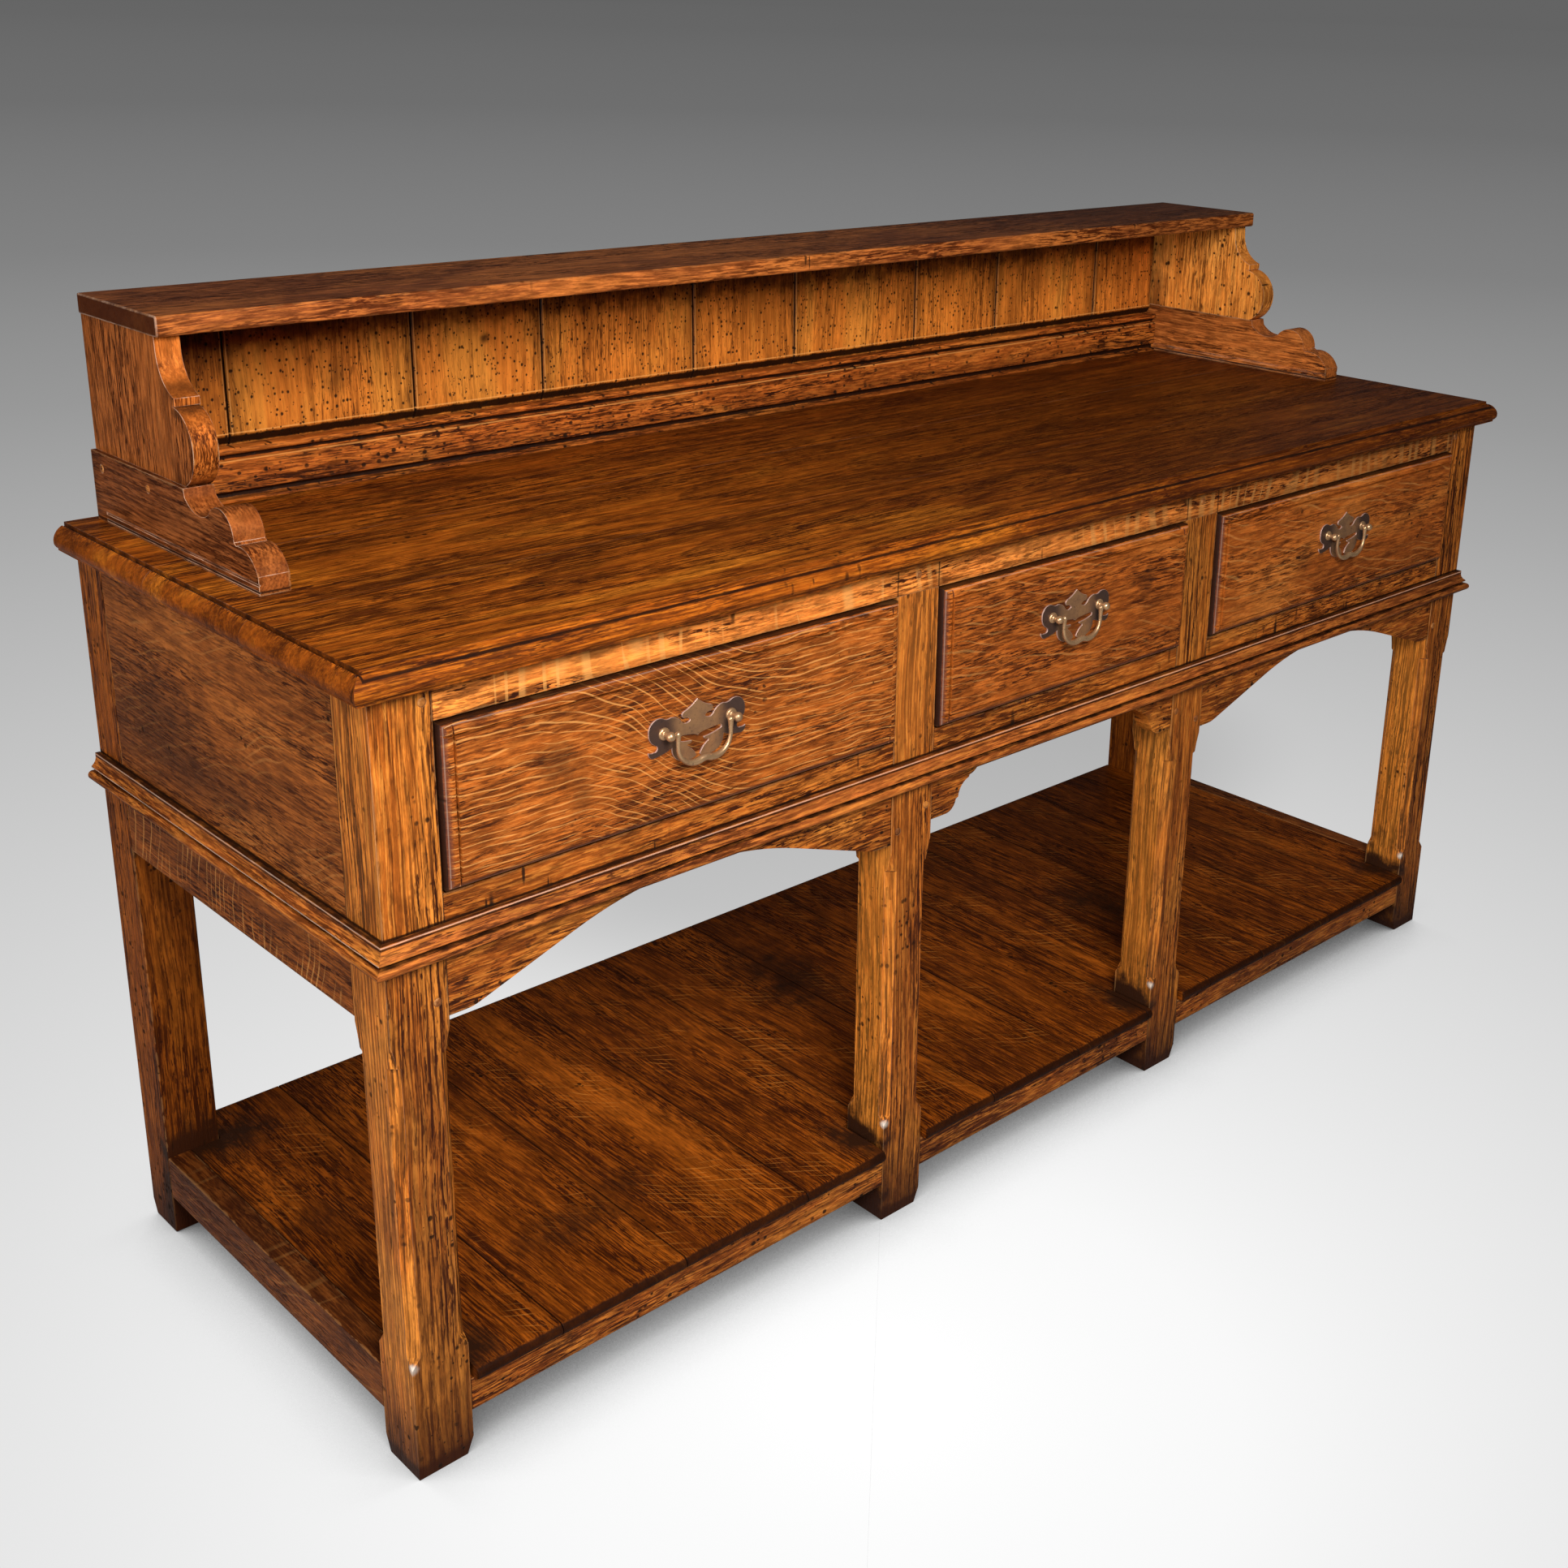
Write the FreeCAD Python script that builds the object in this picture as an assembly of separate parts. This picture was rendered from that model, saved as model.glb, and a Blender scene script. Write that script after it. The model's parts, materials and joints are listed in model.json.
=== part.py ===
import FreeCAD, Part
import math
import os

from FreeCAD import Vector

# Oak potboard dresser base: three drawers over an open potboard, with a low gallery on the top.
# Millimetres. While building, y = 0 is the front face of the legs and +y runs to the back.

# Case and legs
case_width = 1670.0          # over the corner legs
case_depth = 548.0           # front of the front legs to the back of the rear legs
leg = 57.0                   # front legs, square
rear_leg_depth = 54.0
inner_leg_x = 230.5          # centre of each inner front leg
foot_bevel_width = 7.0
foot_bevel_height = 17.0
chamfer = 9.0                # stop chamfer on each arris, along each face
chamfer_low = 119.0          # tip of the lower stop
chamfer_stop = 11.0          # length of the lower stop
chamfer_high = 421.0         # nick under the upper stop
chamfer_tongue = 25.0        # length of the rounded upper stop

# Heights
top_surface = 780.0
top_thickness = 27.0
top_rail_low = 720.0         # head of the drawer openings
drawer_rail_high = 567.0     # foot of the drawer openings
apron_joint = 526.0          # rail above, apron below, hidden behind the waist moulding
apron_low = 453.0
side_apron_low = 450.0
potboard_surface = 93.0
potboard_thickness = 14.0
potboard_rail_low = 45.0

# Front frame and panels
rail_depth = 45.0
apron_face = 1.0
apron_thickness = 22.0
panel_thickness = 22.0
tenon = 20.0
tongue = 10.0
rail_tenon = (12.0, 24.0)    # y of the tenons of the top and drawer rails
rail_shoulder = 6.0
potboard_tenon = (8.0, 18.0)
apron_tenon = (7.0, 17.0)    # behind the apron's face
small_shoulder = 5.0
leg_tenon_half = 13.0        # tenon on the head of an inner leg
leg_tenon = (14.0, 30.0)
panel_tongue = (6.0, 16.0)   # in from the outer face of a side panel
side_rail_tongue = (7.0, 17.0)
side_rail_shoulder = 8.0

# Worktop
top_overhang = 20.0
back_plane = 548.0           # back of the worktop
top_joints = [168.0, 352.0]  # y of the joints between the three planks
quirk_inset = 11.8           # inner side of the quirk round the top
quirk_width = 2.0
quirk_depth = 4.2
thumb_crown = 3.2            # start of the thumb mould, below the surface
thumb_nose = 16.0            # furthest point of the thumb mould
thumb_foot = 25.0
thumb_undercut = 3.6

# Waist moulding
waist_moulding_high = 541.0
waist_moulding_low = 514.0
waist_moulding_out = 14.5
waist_fillet = 5.0           # top fillet, out from the case
waist_fillet_height = 2.5
waist_step_out = 10.2        # small step under the hollow
waist_step_high = 527.7
waist_step_low = 526.2
waist_quirk_out = 6.0
waist_bead = 4.7             # radius

# Aprons: long arches outside, small bracket ends in the middle
arch_top = 511.0
arch_radius = 400.0
arch_half = 130.0
arch_round = 40.0
strip_low = 506.0
bracket_low = 465.0

# Potboard
potboard_nosing = 9.0
potboard_rail = 25.0
potboard_joints = [-682.0, -535.0, -375.0, -233.0, -90.0, 58.0, 190.0, 318.0, 431.0, 589.0, 706.0]
fit_gap = 1.0

# Back of the case
back_rail_face = 494.0
back_rail_thickness = 22.0
back_board = 10.0
back_top_rail_low = 690.0
back_foot = 518.0            # foot of the back boards and of the rail behind them
rear_tenon_inset = 6.0
back_joints = [-610.0, -402.0, -196.0, 24.0, 215.0, 428.0, 597.0]

# Gallery
shelf_underside = 977.0
shelf_thickness = 19.0
shelf_front = 373.0
shelf_half = 810.0
gallery_back = 540.0         # back of the gallery, a little in from the worktop's
gallery_inner = 784.0        # inner faces of the uprights and of the base boards
upright_thickness = 24.0
base_thickness = 29.0
base_top = 848.0
back_rail_top = 834.5
gallery_rail_face = 518.0
gallery_rail_front = 516.5   # bead and foot of the rail
gallery_board_face = 529.0
gallery_board_foot = 822.0
foot_bevel_top = 845.0       # bevel across the foot of the boards
foot_bevel_back = 535.0
shelf_round = 3.0
base_toe = 211.0
scratch_heights = (783.0, 789.5)
scratch_depth = 1.2
upright_tenons = (430.0, 500.0)
upright_tenon_half = 18.0
upright_tenon = (6.0, 16.0)  # in from the outer face
upright_tenon_foot = 7.0
upright_tenon_head = 10.0
gallery_joints = [-678.0, -469.0, -306.0, -91.0, 70.0, 282.0, 440.0, 649.0]
board_gap = 0.6
board_bevel = 2.0

# Drawers
drawer_gap = 2.4             # round each drawer front
front_proud = 10.0           # field in front of the frame
lip_proud = 2.4              # outer edge of the moulded front
field_inset = 12.0           # width of the moulded edge
front_quirk = 1.6            # groove between the field and the round
front_quirk_floor = 5.6
front_round_high = 8.0
front_back = 13.0            # back of the drawer front
side_thickness = 11.0
side_low = 568.0
side_high = 706.0
side_back = 478.0
runner_low = 545.0
runner_high = 567.7
runner_guide_high = 592.0
kicker_low = 708.5
kicker_high = 732.0
kicker_guide_low = 690.0
carrier_lap = 22.0           # of a runner or kicker past the legs
guide_play = 0.7
stop_half = 20.0
stop_gap = 0.3
stop_depth = 26.0
stop_height = 8.0
stop_shares = (0.25, 0.75)   # places along the drawer
side_inset = 0.6
back_set = 16.0              # drawer back, in from the ends of the sides
back_drop = 6.0
bottom_low = 580.0
bottom_thickness = 8.0
groove = 4.0
back_piece = 11.0
tail_length = 12.0
tail_count = 3
tail_root = 0.33             # half widths, as shares of the pitch
tail_tip = 0.40

# Handles
handle_height = 656.0
post_half = 38.2             # half the distance between posts
plate_thickness = 1.8
ball_radius = 4.6
ball_y = -21.5               # centre of each ball, and the bail's axis
bail_half = 30.0
bail_arm = 2.2               # radius of the rod at its ends
bail_shoulder = 2.6          # in the lower bends
bail_grip = 3.5              # in the middle
bail_drop = 12.0             # straight part of each arm
bail_bend = 19.0
bail_turn = 110.0            # degrees turned by each lower bend
bail_end = 3.1
pin_radius = 1.3
pin_clearance = 0.06
shank_radius = 2.4
nut_radius = 5.0
nut_thickness = 4.0
hole_gap = 0.1

# Pegs
peg_radius = 4.0
peg_length = 16.0
peg_proud = 0.8
peg_clearance = 2.0
rail_peg_height = 738.0
base_peg_height = 833.0
base_pegs = (418.0, 518.0)
apron_pegs = {               # in from the leg's edge, and height
    "corner": (10.0, 470.0),
    "outer": (9.0, 466.0),
    "inner": (8.0, 485.0),
}
corner_rail_peg = 8.5

half = case_width / 2.0
leg_inner = half - leg
post_low = inner_leg_x - leg / 2.0
post_high = inner_leg_x + leg / 2.0
rear_leg_front = case_depth - rear_leg_depth
top_underside = top_surface - top_thickness
potboard_low = potboard_surface - potboard_thickness
panel_inner = half - panel_thickness
bays = {
    "left": (-leg_inner, -post_high),
    "centre": (-post_low, post_low),
    "right": (post_high, leg_inner),
}
front_reach = ball_radius - ball_y
origin_y = (back_plane - front_reach) / 2.0


def block(x0, x1, y0, y1, z0, z1):
    return Part.makeBox(x1 - x0, y1 - y0, z1 - z0, Vector(x0, y0, z0))


def mirrored(shape):
    return shape.mirror(Vector(0, 0, 0), Vector(1, 0, 0))


def in_xz(y):
    return lambda a, b: Vector(a, y, b)


def in_yz(x):
    return lambda a, b: Vector(x, a, b)


def in_xy(z):
    return lambda a, b: Vector(a, b, z)


def outline(place, steps):
    # A pair of numbers is a corner. A pair of points is an arc through the first to the second.
    edges = []
    here = steps[0]
    for step in steps[1:] + [steps[0]]:
        is_arc = isinstance(step[0], tuple)
        end = step[1] if is_arc else step
        if end == here:
            continue
        if is_arc:
            edges.append(Part.Arc(place(*here), place(*step[0]), place(*end)).toShape())
        else:
            edges.append(Part.makeLine(place(*here), place(*end)))
        here = end
    return Part.Face(Part.Wire(edges))


def joined(shapes):
    return shapes[0].multiFuse(shapes[1:]).removeSplitter()


def less(shape, cutters):
    return shape.cut(Part.makeCompound(cutters)) if cutters else shape


def leg_outline(low, high, top, low_bevelled, high_bevelled):
    # Square leg seen straight on, with the chosen bottom edges bevelled off.
    low_foot = [(low, foot_bevel_height), (low + foot_bevel_width, 0.0)] if low_bevelled else [(low, 0.0)]
    high_foot = [(high - foot_bevel_width, 0.0), (high, foot_bevel_height)] if high_bevelled else [(high, 0.0)]
    return high_foot + [(high, top), (low, top)] + low_foot


def leg_blank(x0, x1, y0, y1, top, bevelled):
    front = outline(in_xz(y0), leg_outline(x0, x1, top, "x0" in bevelled, "x1" in bevelled))
    side = outline(in_yz(x0), leg_outline(y0, y1, top, "y0" in bevelled, "y1" in bevelled))
    return front.extrude(Vector(0, y1 - y0, 0)).common(side.extrude(Vector(x1 - x0, 0, 0)))


def stop_chamfer(arris_x, arris_y, into_x, into_y):
    # Cutter for a chamfer on an arris: a sloping stop below, a nick and a rounded tongue above.
    slope = 1.0 / math.sqrt(2.0)
    depth = chamfer * slope
    tongue_top = chamfer_high + chamfer_tongue
    steps = [
        (-depth, chamfer_low - chamfer_stop),
        (depth, chamfer_low + chamfer_stop),
        (depth, chamfer_high),
        (depth * 0.6, chamfer_high + 1.5),
        ((depth * 0.34, chamfer_high + chamfer_tongue * 0.55), (0.0, tongue_top)),
        (-depth, tongue_top),
    ]
    face = outline(lambda d, z: Vector(arris_x + into_x * d * slope, arris_y + into_y * d * slope, z), steps)
    across = Vector(into_x, -into_y, 0.0).normalize().multiply(leg / 3.0)
    face.translate(across.negative())
    return face.extrude(across * 2.0)


def chamfered_leg(x0, top, bevelled):
    blank = leg_blank(x0, x0 + leg, 0.0, leg, top, bevelled)
    cutters = []
    for x, into_x in ((x0, 1.0), (x0 + leg, -1.0)):
        for y, into_y in ((0.0, 1.0), (leg, -1.0)):
            cutters.append(stop_chamfer(x, y, into_x, into_y))
    return less(blank, cutters)


def inner_leg(x0):
    # Inner front leg with a tenon up into the top rail.
    shape = chamfered_leg(x0, top_rail_low, {"x1", "y1"})
    middle = x0 + leg / 2.0
    return joined([shape, block(middle - leg_tenon_half, middle + leg_tenon_half, leg_tenon[0], leg_tenon[1],
                                top_rail_low, top_rail_low + tenon)])


def front_rail(bay, depth, low, high, tenon_y, shoulder):
    # Rail between two legs, with a tenon at each end.
    x0, x1 = bays[bay]
    body = block(x0, x1, 0.0, depth, low, high)
    ends = block(x0 - tenon, x1 + tenon, tenon_y[0], tenon_y[1], low + shoulder, high - shoulder)
    return joined([body, ends])


def front_frame():
    top_rail = joined([
        block(-leg_inner, leg_inner, 0.0, rail_depth, top_rail_low, top_underside),
        block(-leg_inner - tenon, leg_inner + tenon, rail_tenon[0], rail_tenon[1],
              top_rail_low + rail_shoulder, top_underside - rail_shoulder),
    ])
    drawer_rails = []
    potboard_rails = []
    for bay in bays:
        drawer_rails.append(front_rail(bay, rail_depth, apron_joint, drawer_rail_high, rail_tenon, rail_shoulder))
        potboard_rails.append(front_rail(bay, potboard_rail, potboard_rail_low, potboard_low, potboard_tenon,
                                         small_shoulder))
    return top_rail, drawer_rails, potboard_rails


def arched_edge(middle):
    # Flat at each leg, a rounded turn, a straight rise and the long arch, from left to right.
    rise = math.asin(arch_half / arch_radius)
    spring = arch_top - arch_radius * (1.0 - math.cos(rise))
    flat = arch_half + (spring - apron_low) / math.tan(rise)
    turn = arch_round * math.tan(rise / 2.0)
    outer = flat + turn
    inner = outer - arch_round * math.sin(rise)
    inner_z = apron_low + arch_round * (1.0 - math.cos(rise))
    mid = outer - arch_round * math.sin(rise / 2.0)
    mid_z = apron_low + arch_round * (1.0 - math.cos(rise / 2.0))
    return [
        (middle - outer, apron_low),
        ((middle - mid, mid_z), (middle - inner, inner_z)),
        (middle - arch_half, spring),
        ((middle, arch_top), (middle + arch_half, spring)),
        (middle + inner, inner_z),
        ((middle + mid, mid_z), (middle + outer, apron_low)),
    ]


def bracket_edge():
    # Shallow strip with a bracket at each leg: flat, round, nib, hollow, nib and quarter round.
    left = [
        (-180.0, bracket_low),
        ((-169.5, 468.5), (-164.0, 478.0)),
        (-160.5, 479.5),
        ((-156.0, 491.0), (-145.0, 498.0)),
        (-144.0, 500.5),
        ((-137.5, 502.5), (-133.0, strip_low)),
    ]
    right = [
        (133.0, strip_low),
        ((137.5, 502.5), (144.0, 500.5)),
        (145.0, 498.0),
        ((156.0, 491.0), (160.5, 479.5)),
        (164.0, 478.0),
        ((169.5, 468.5), (180.0, bracket_low)),
    ]
    return [(-post_low, bracket_low)] + left + right + [(post_low, bracket_low)]


def apron(bay):
    x0, x1 = bays[bay]
    if bay == "centre":
        edge = bracket_edge()
    else:
        edge = [(x0, apron_low)] + arched_edge((x0 + x1) / 2.0) + [(x1, apron_low)]
    face = outline(in_xz(apron_face), edge + [(x1, apron_joint), (x0, apron_joint)])
    board = face.extrude(Vector(0, apron_thickness, 0))
    front, back = [apron_face + depth for depth in apron_tenon]
    low = edge[0][1] + small_shoulder
    high = apron_joint - small_shoulder
    ends = [block(x0 - tenon, x0, front, back, low, high), block(x1, x1 + tenon, front, back, low, high)]
    return joined([board] + ends)


def side_board(low, high):
    # Flush board between a front and a rear leg, tongued into both, on the left side.
    board = block(-half, -panel_inner, leg, rear_leg_front, low, high)
    tongues = block(-half + panel_tongue[0], -half + panel_tongue[1], leg - tongue, rear_leg_front + tongue,
                    low + rail_shoulder, high - rail_shoulder)
    return joined([board, tongues])


def potboard_side_rail():
    rail = block(-half, -half + potboard_rail, leg, rear_leg_front, potboard_rail_low, potboard_surface)
    ends = block(-half + side_rail_tongue[0], -half + side_rail_tongue[1], leg - tongue, rear_leg_front + tongue,
                 potboard_rail_low + side_rail_shoulder, potboard_low)
    return joined([rail, ends])


def rear_rail(face, thickness, low, high):
    rail = block(-leg_inner, leg_inner, face, face + thickness, low, high)
    ends = block(-leg_inner - tenon, leg_inner + tenon, face + rear_tenon_inset, face + thickness - rear_tenon_inset,
                 low + rail_shoulder, high - rail_shoulder)
    return joined([rail, ends])


def top_edge_cutter(place, run):
    # Waste outside the worktop's edge: a quirk, a broad thumb mould and a small undercut.
    steps = [
        (-1.0, top_surface + 1.0),
        (quirk_inset, top_surface + 1.0),
        (quirk_inset, top_surface - quirk_depth),
        (quirk_inset - quirk_width, top_surface - quirk_depth),
        (quirk_inset - quirk_width, top_surface - thumb_crown),
        ((3.4, top_surface - 8.2), (0.0, top_surface - thumb_nose)),
        ((0.9, top_surface - 22.0), (thumb_undercut, top_surface - thumb_foot)),
        (thumb_undercut, top_underside - 1.0),
        (-1.0, top_underside - 1.0),
    ]
    return outline(place, steps).extrude(run)


def worktop():
    end = half + top_overhang
    front = -top_overhang
    board = block(-end, end, front, back_plane, top_underside, top_surface)
    front_waste = top_edge_cutter(lambda s, z: Vector(-end - 1.0, front + s, z), Vector(2.0 * end + 2.0, 0, 0))
    left_waste = top_edge_cutter(lambda s, z: Vector(-end + s, front - 1.0, z),
                                 Vector(0, back_plane - front + 2.0, 0))
    board = board.cut(front_waste).cut(left_waste).cut(mirrored(left_waste))
    edges = [front] + top_joints + [back_plane]
    planks = []
    for y0, y1 in zip(edges, edges[1:]):
        planks.append(board.common(block(-end, end, y0, y1, top_underside, top_surface)))
    return planks


def waist_moulding_face(place):
    # Distance out from the case and height: fillet, hollow, small step, quirk and half-round bead.
    high = waist_moulding_high
    low = waist_moulding_low
    bead_out = waist_moulding_out - waist_bead
    bead_high = low + 2.0 * waist_bead
    steps = [
        (0.0, high),
        (waist_fillet, high),
        (waist_fillet, high - waist_fillet_height),
        ((6.0, 532.4), (waist_step_out, waist_step_high)),
        (waist_step_out, waist_step_low),
        (waist_quirk_out, waist_step_low - 0.6),
        (waist_quirk_out, bead_high),
        (bead_out, bead_high),
        ((waist_moulding_out, low + waist_bead), (bead_out, low)),
        (0.0, low),
    ]
    return outline(place, steps)


def waist_moulding():
    # Mitred round the front corners.
    reach = 2.0 * waist_moulding_out
    run = case_width + 2.0 * reach
    front = waist_moulding_face(lambda s, z: Vector(-half - reach, -s, z)).extrude(Vector(run, 0, 0))
    front_limit = outline(in_xy(waist_moulding_low), [
        (-half, 0.0), (-half - reach, -reach), (half + reach, -reach), (half, 0.0)])
    side = waist_moulding_face(lambda s, z: Vector(-half - s, -reach, z)).extrude(Vector(0, case_depth + reach, 0))
    side_limit = outline(in_xy(waist_moulding_low), [
        (-half, 0.0), (-half, case_depth), (-half - reach, case_depth), (-half - reach, -reach)])
    rise = Vector(0, 0, waist_moulding_high - waist_moulding_low)
    front = front.common(front_limit.extrude(rise))
    side = side.common(side_limit.extrude(rise))
    return front, side, mirrored(side)


def potboard(legs):
    # Planks laid front to back, with a rounded nosing over the front rails, notched round the legs.
    end = half - potboard_rail
    nose = potboard_thickness / 2.0
    section = [
        (-potboard_nosing + nose, potboard_low),
        (case_depth, potboard_low),
        (case_depth, potboard_surface),
        (-potboard_nosing + nose, potboard_surface),
        ((-potboard_nosing, potboard_low + nose), (-potboard_nosing + nose, potboard_low)),
    ]
    notches = []
    for shape in legs:
        box = shape.BoundBox
        reach = potboard_nosing if box.YMin < leg else 0.0
        notches.append(block(box.XMin - fit_gap, box.XMax + fit_gap, box.YMin - reach - fit_gap,
                             box.YMax + fit_gap, potboard_low, potboard_surface))
    edges = [-end] + potboard_joints + [end]
    planks = []
    for x0, x1 in zip(edges, edges[1:]):
        plank = outline(in_yz(x0), section).extrude(Vector(x1 - x0 - board_gap, 0, 0))
        planks.append(less(plank, notches))
    return planks


def case_back():
    planks = []
    edges = [-leg_inner] + back_joints + [leg_inner]
    face = back_rail_face + back_rail_thickness
    for x0, x1 in zip(edges, edges[1:]):
        planks.append(block(x0, x1 - board_gap, face, face + back_board, back_foot, top_underside))
    return planks


def drawer_carriers(low, high, guide_low, guide_high):
    # Strips that run front to back beside the drawers: a flange under or over the sides, and a guide.
    strips = []
    for sign in (-1.0, 1.0):
        ends = [sign * leg_inner, sign * (leg_inner - carrier_lap)]
        panel = [sign * leg_inner, sign * panel_inner]
        middle = [sign * post_low, sign * post_high]
        wide = [sign * (post_low - carrier_lap), sign * (post_high + carrier_lap)]
        guide_end = [sign * (leg_inner - guide_play), sign * panel_inner]
        guide_mid = [sign * (post_low + guide_play), sign * (post_high - guide_play)]
        for flange, behind, guide in ((ends, panel, guide_end), (wide, middle, guide_mid)):
            start = leg if behind is middle else rail_depth
            pieces = [
                block(min(flange), max(flange), start, back_rail_face, low, high),
                block(min(behind), max(behind), leg, back_rail_face, low, high),
                block(min(guide), max(guide), leg, back_rail_face, guide_low, guide_high),
            ]
            strips.append(joined(pieces))
    return strips


def drawer_stops():
    stops = []
    for x0, x1 in bays.values():
        for share in stop_shares:
            x = x0 + (x1 - x0) * share
            stops.append(block(x - stop_half, x + stop_half, front_back + stop_gap, front_back + stop_depth,
                               drawer_rail_high, drawer_rail_high + stop_height))
    return stops


def gallery_upright():
    # Left upright: hollow under the shelf, a small fillet, then a full round nose.
    steps = [
        (gallery_back, base_top),
        (gallery_back, shelf_underside),
        (385.0, shelf_underside),
        (384.0, 961.0),
        ((375.5, 940.0), (358.0, 927.0)),
        (355.0, 926.0),
        (355.0, 918.5),
        (358.5, 918.0),
        ((327.0, 889.0), (348.0, base_top)),
    ]
    outer = -gallery_inner - upright_thickness
    board = outline(in_yz(outer), steps).extrude(Vector(upright_thickness, 0, 0))
    tenons = []
    for y in upright_tenons:
        tenons.append(block(outer + upright_tenon[0], outer + upright_tenon[1], y - upright_tenon_half,
                            y + upright_tenon_half, base_top - upright_tenon_foot,
                            shelf_underside + upright_tenon_head))
    return joined([board] + tenons)


def gallery_base():
    # Left base board: drop, hollow, full round, nib, second round and a square toe.
    toe = base_toe
    steps = [
        (gallery_back, top_surface),
        (gallery_back, base_top),
        (343.5, base_top),
        (341.5, 840.0),
        ((320.0, 829.0), (297.0, 833.5)),
        ((263.0, 840.0), (251.5, 818.5)),
        (248.0, 816.5),
        ((230.0, 815.0), (toe + 1.0, 798.5)),
        (toe, 797.0),
        (toe, top_surface),
    ]
    outer = -gallery_inner - base_thickness
    board = outline(in_yz(outer), steps).extrude(Vector(base_thickness, 0, 0))
    # A scratched bead runs along the foot of both faces.
    scratches = []
    deep = scratch_depth
    for z in scratch_heights:
        for face in (outer, -gallery_inner):
            scratch = outline(in_xz(toe), [(face - deep, z), (face, z - deep), (face + deep, z), (face, z + deep)])
            scratches.append(scratch.extrude(Vector(0, gallery_rail_face - toe, 0)))
    return less(board, scratches)


def gallery_shelf(uprights):
    front = shelf_front
    high = shelf_underside + shelf_thickness
    corner = shelf_round * (1.0 - math.sqrt(0.5))
    steps = [
        (gallery_back, shelf_underside),
        (gallery_back, high),
        (front + shelf_round, high),
        ((front + corner, high - corner), (front, high - shelf_round)),
        (front, shelf_underside + shelf_round),
        ((front + corner, shelf_underside + corner), (front + shelf_round, shelf_underside)),
    ]
    shelf = outline(in_yz(-shelf_half), steps).extrude(Vector(2.0 * shelf_half, 0, 0))
    return less(shelf, uprights)


def gallery_rail():
    # Bead along the top, deep quirk, flat band, small bead, hollow and foot; rebated behind for the boards.
    face = gallery_rail_face
    front = gallery_rail_front
    top = back_rail_top
    foot = top_surface
    steps = [
        (gallery_back, foot),
        (gallery_back, gallery_board_foot),
        (foot_bevel_back, gallery_board_foot),
        (foot_bevel_back, top),
        (front + 3.3, top),
        ((front, top - 3.3), (front + 3.3, top - 6.6)),
        (face + 5.0, top - 7.2),
        (face + 5.0, top - 11.6),
        (face, top - 12.6),
        (face, foot + 13.2),
        ((front + 0.4, foot + 12.0), (face, foot + 10.8)),
        (face + 4.0, foot + 10.2),
        ((face + 5.2, foot + 7.0), (face + 3.6, foot + 3.6)),
        (front, foot + 3.0),
        (front, foot),
    ]
    return outline(in_yz(-gallery_inner), steps).extrude(Vector(2.0 * gallery_inner, 0, 0))


def gallery_boards():
    # Upright boards of random width with bevelled joints, and a bevel across the foot above the rail.
    boards = []
    edges = [-gallery_inner] + gallery_joints + [gallery_inner]
    face = gallery_board_face
    foot_waste = outline(in_yz(-gallery_inner), [
        (face - 1.0, foot_bevel_top),
        (face, foot_bevel_top),
        (foot_bevel_back, back_rail_top + 1.0),
        (foot_bevel_back, gallery_board_foot),
        (face - 1.0, gallery_board_foot),
    ]).extrude(Vector(2.0 * gallery_inner, 0, 0))
    for x0, x1 in zip(edges, edges[1:]):
        right = x1 - board_gap
        steps = [
            (x0, gallery_back),
            (x0, face + board_bevel),
            (x0 + board_bevel, face),
            (right - board_bevel, face),
            (right, face + board_bevel),
            (right, gallery_back),
        ]
        board = outline(in_xy(gallery_board_foot), steps)
        board = board.extrude(Vector(0, 0, shelf_underside - gallery_board_foot))
        boards.append(board.cut(foot_waste))
    return boards


def peg(place, inward, radius=peg_radius, length=peg_length, proud=peg_proud):
    # Oak peg with a domed head standing a little proud.
    flat = math.sqrt(radius * radius - proud * proud) * 0.8
    steps = [(0.0, -proud), ((flat, -proud * 0.7), (radius, 0.0)), (radius, length), (0.0, length)]
    turned = outline(in_xy(0.0), steps).revolve(Vector(0, 0, 0), Vector(0, 1, 0), 360.0)
    turned.rotate(Vector(0, 0, 0), Vector(0, 0, 1), math.degrees(math.atan2(inward[1], inward[0])) - 90.0)
    turned.translate(place)
    return turned


def peg_hole(place, inward):
    axis = Vector(inward[0], inward[1], 0.0)
    return Part.makeCylinder(peg_radius + hole_gap, peg_length + peg_clearance, place - axis * peg_clearance, axis)


def peg_places():
    # Front pegs through the tenons of the top rail and aprons, and side pegs in the gallery base boards.
    front = [
        (leg_inner + corner_rail_peg, rail_peg_height),
        (leg_inner + apron_pegs["corner"][0], apron_pegs["corner"][1]),
        (post_high - apron_pegs["outer"][0], apron_pegs["outer"][1]),
        (post_low + apron_pegs["inner"][0], apron_pegs["inner"][1]),
        (inner_leg_x, rail_peg_height),
    ]
    places = []
    for sign in (-1.0, 1.0):
        for x, z in front:
            places.append((Vector(sign * x, 0.0, z), (0.0, 1.0)))
        for y in base_pegs:
            places.append((Vector(sign * (gallery_inner + base_thickness), y, base_peg_height), (-sign, 0.0)))
    return places


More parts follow.
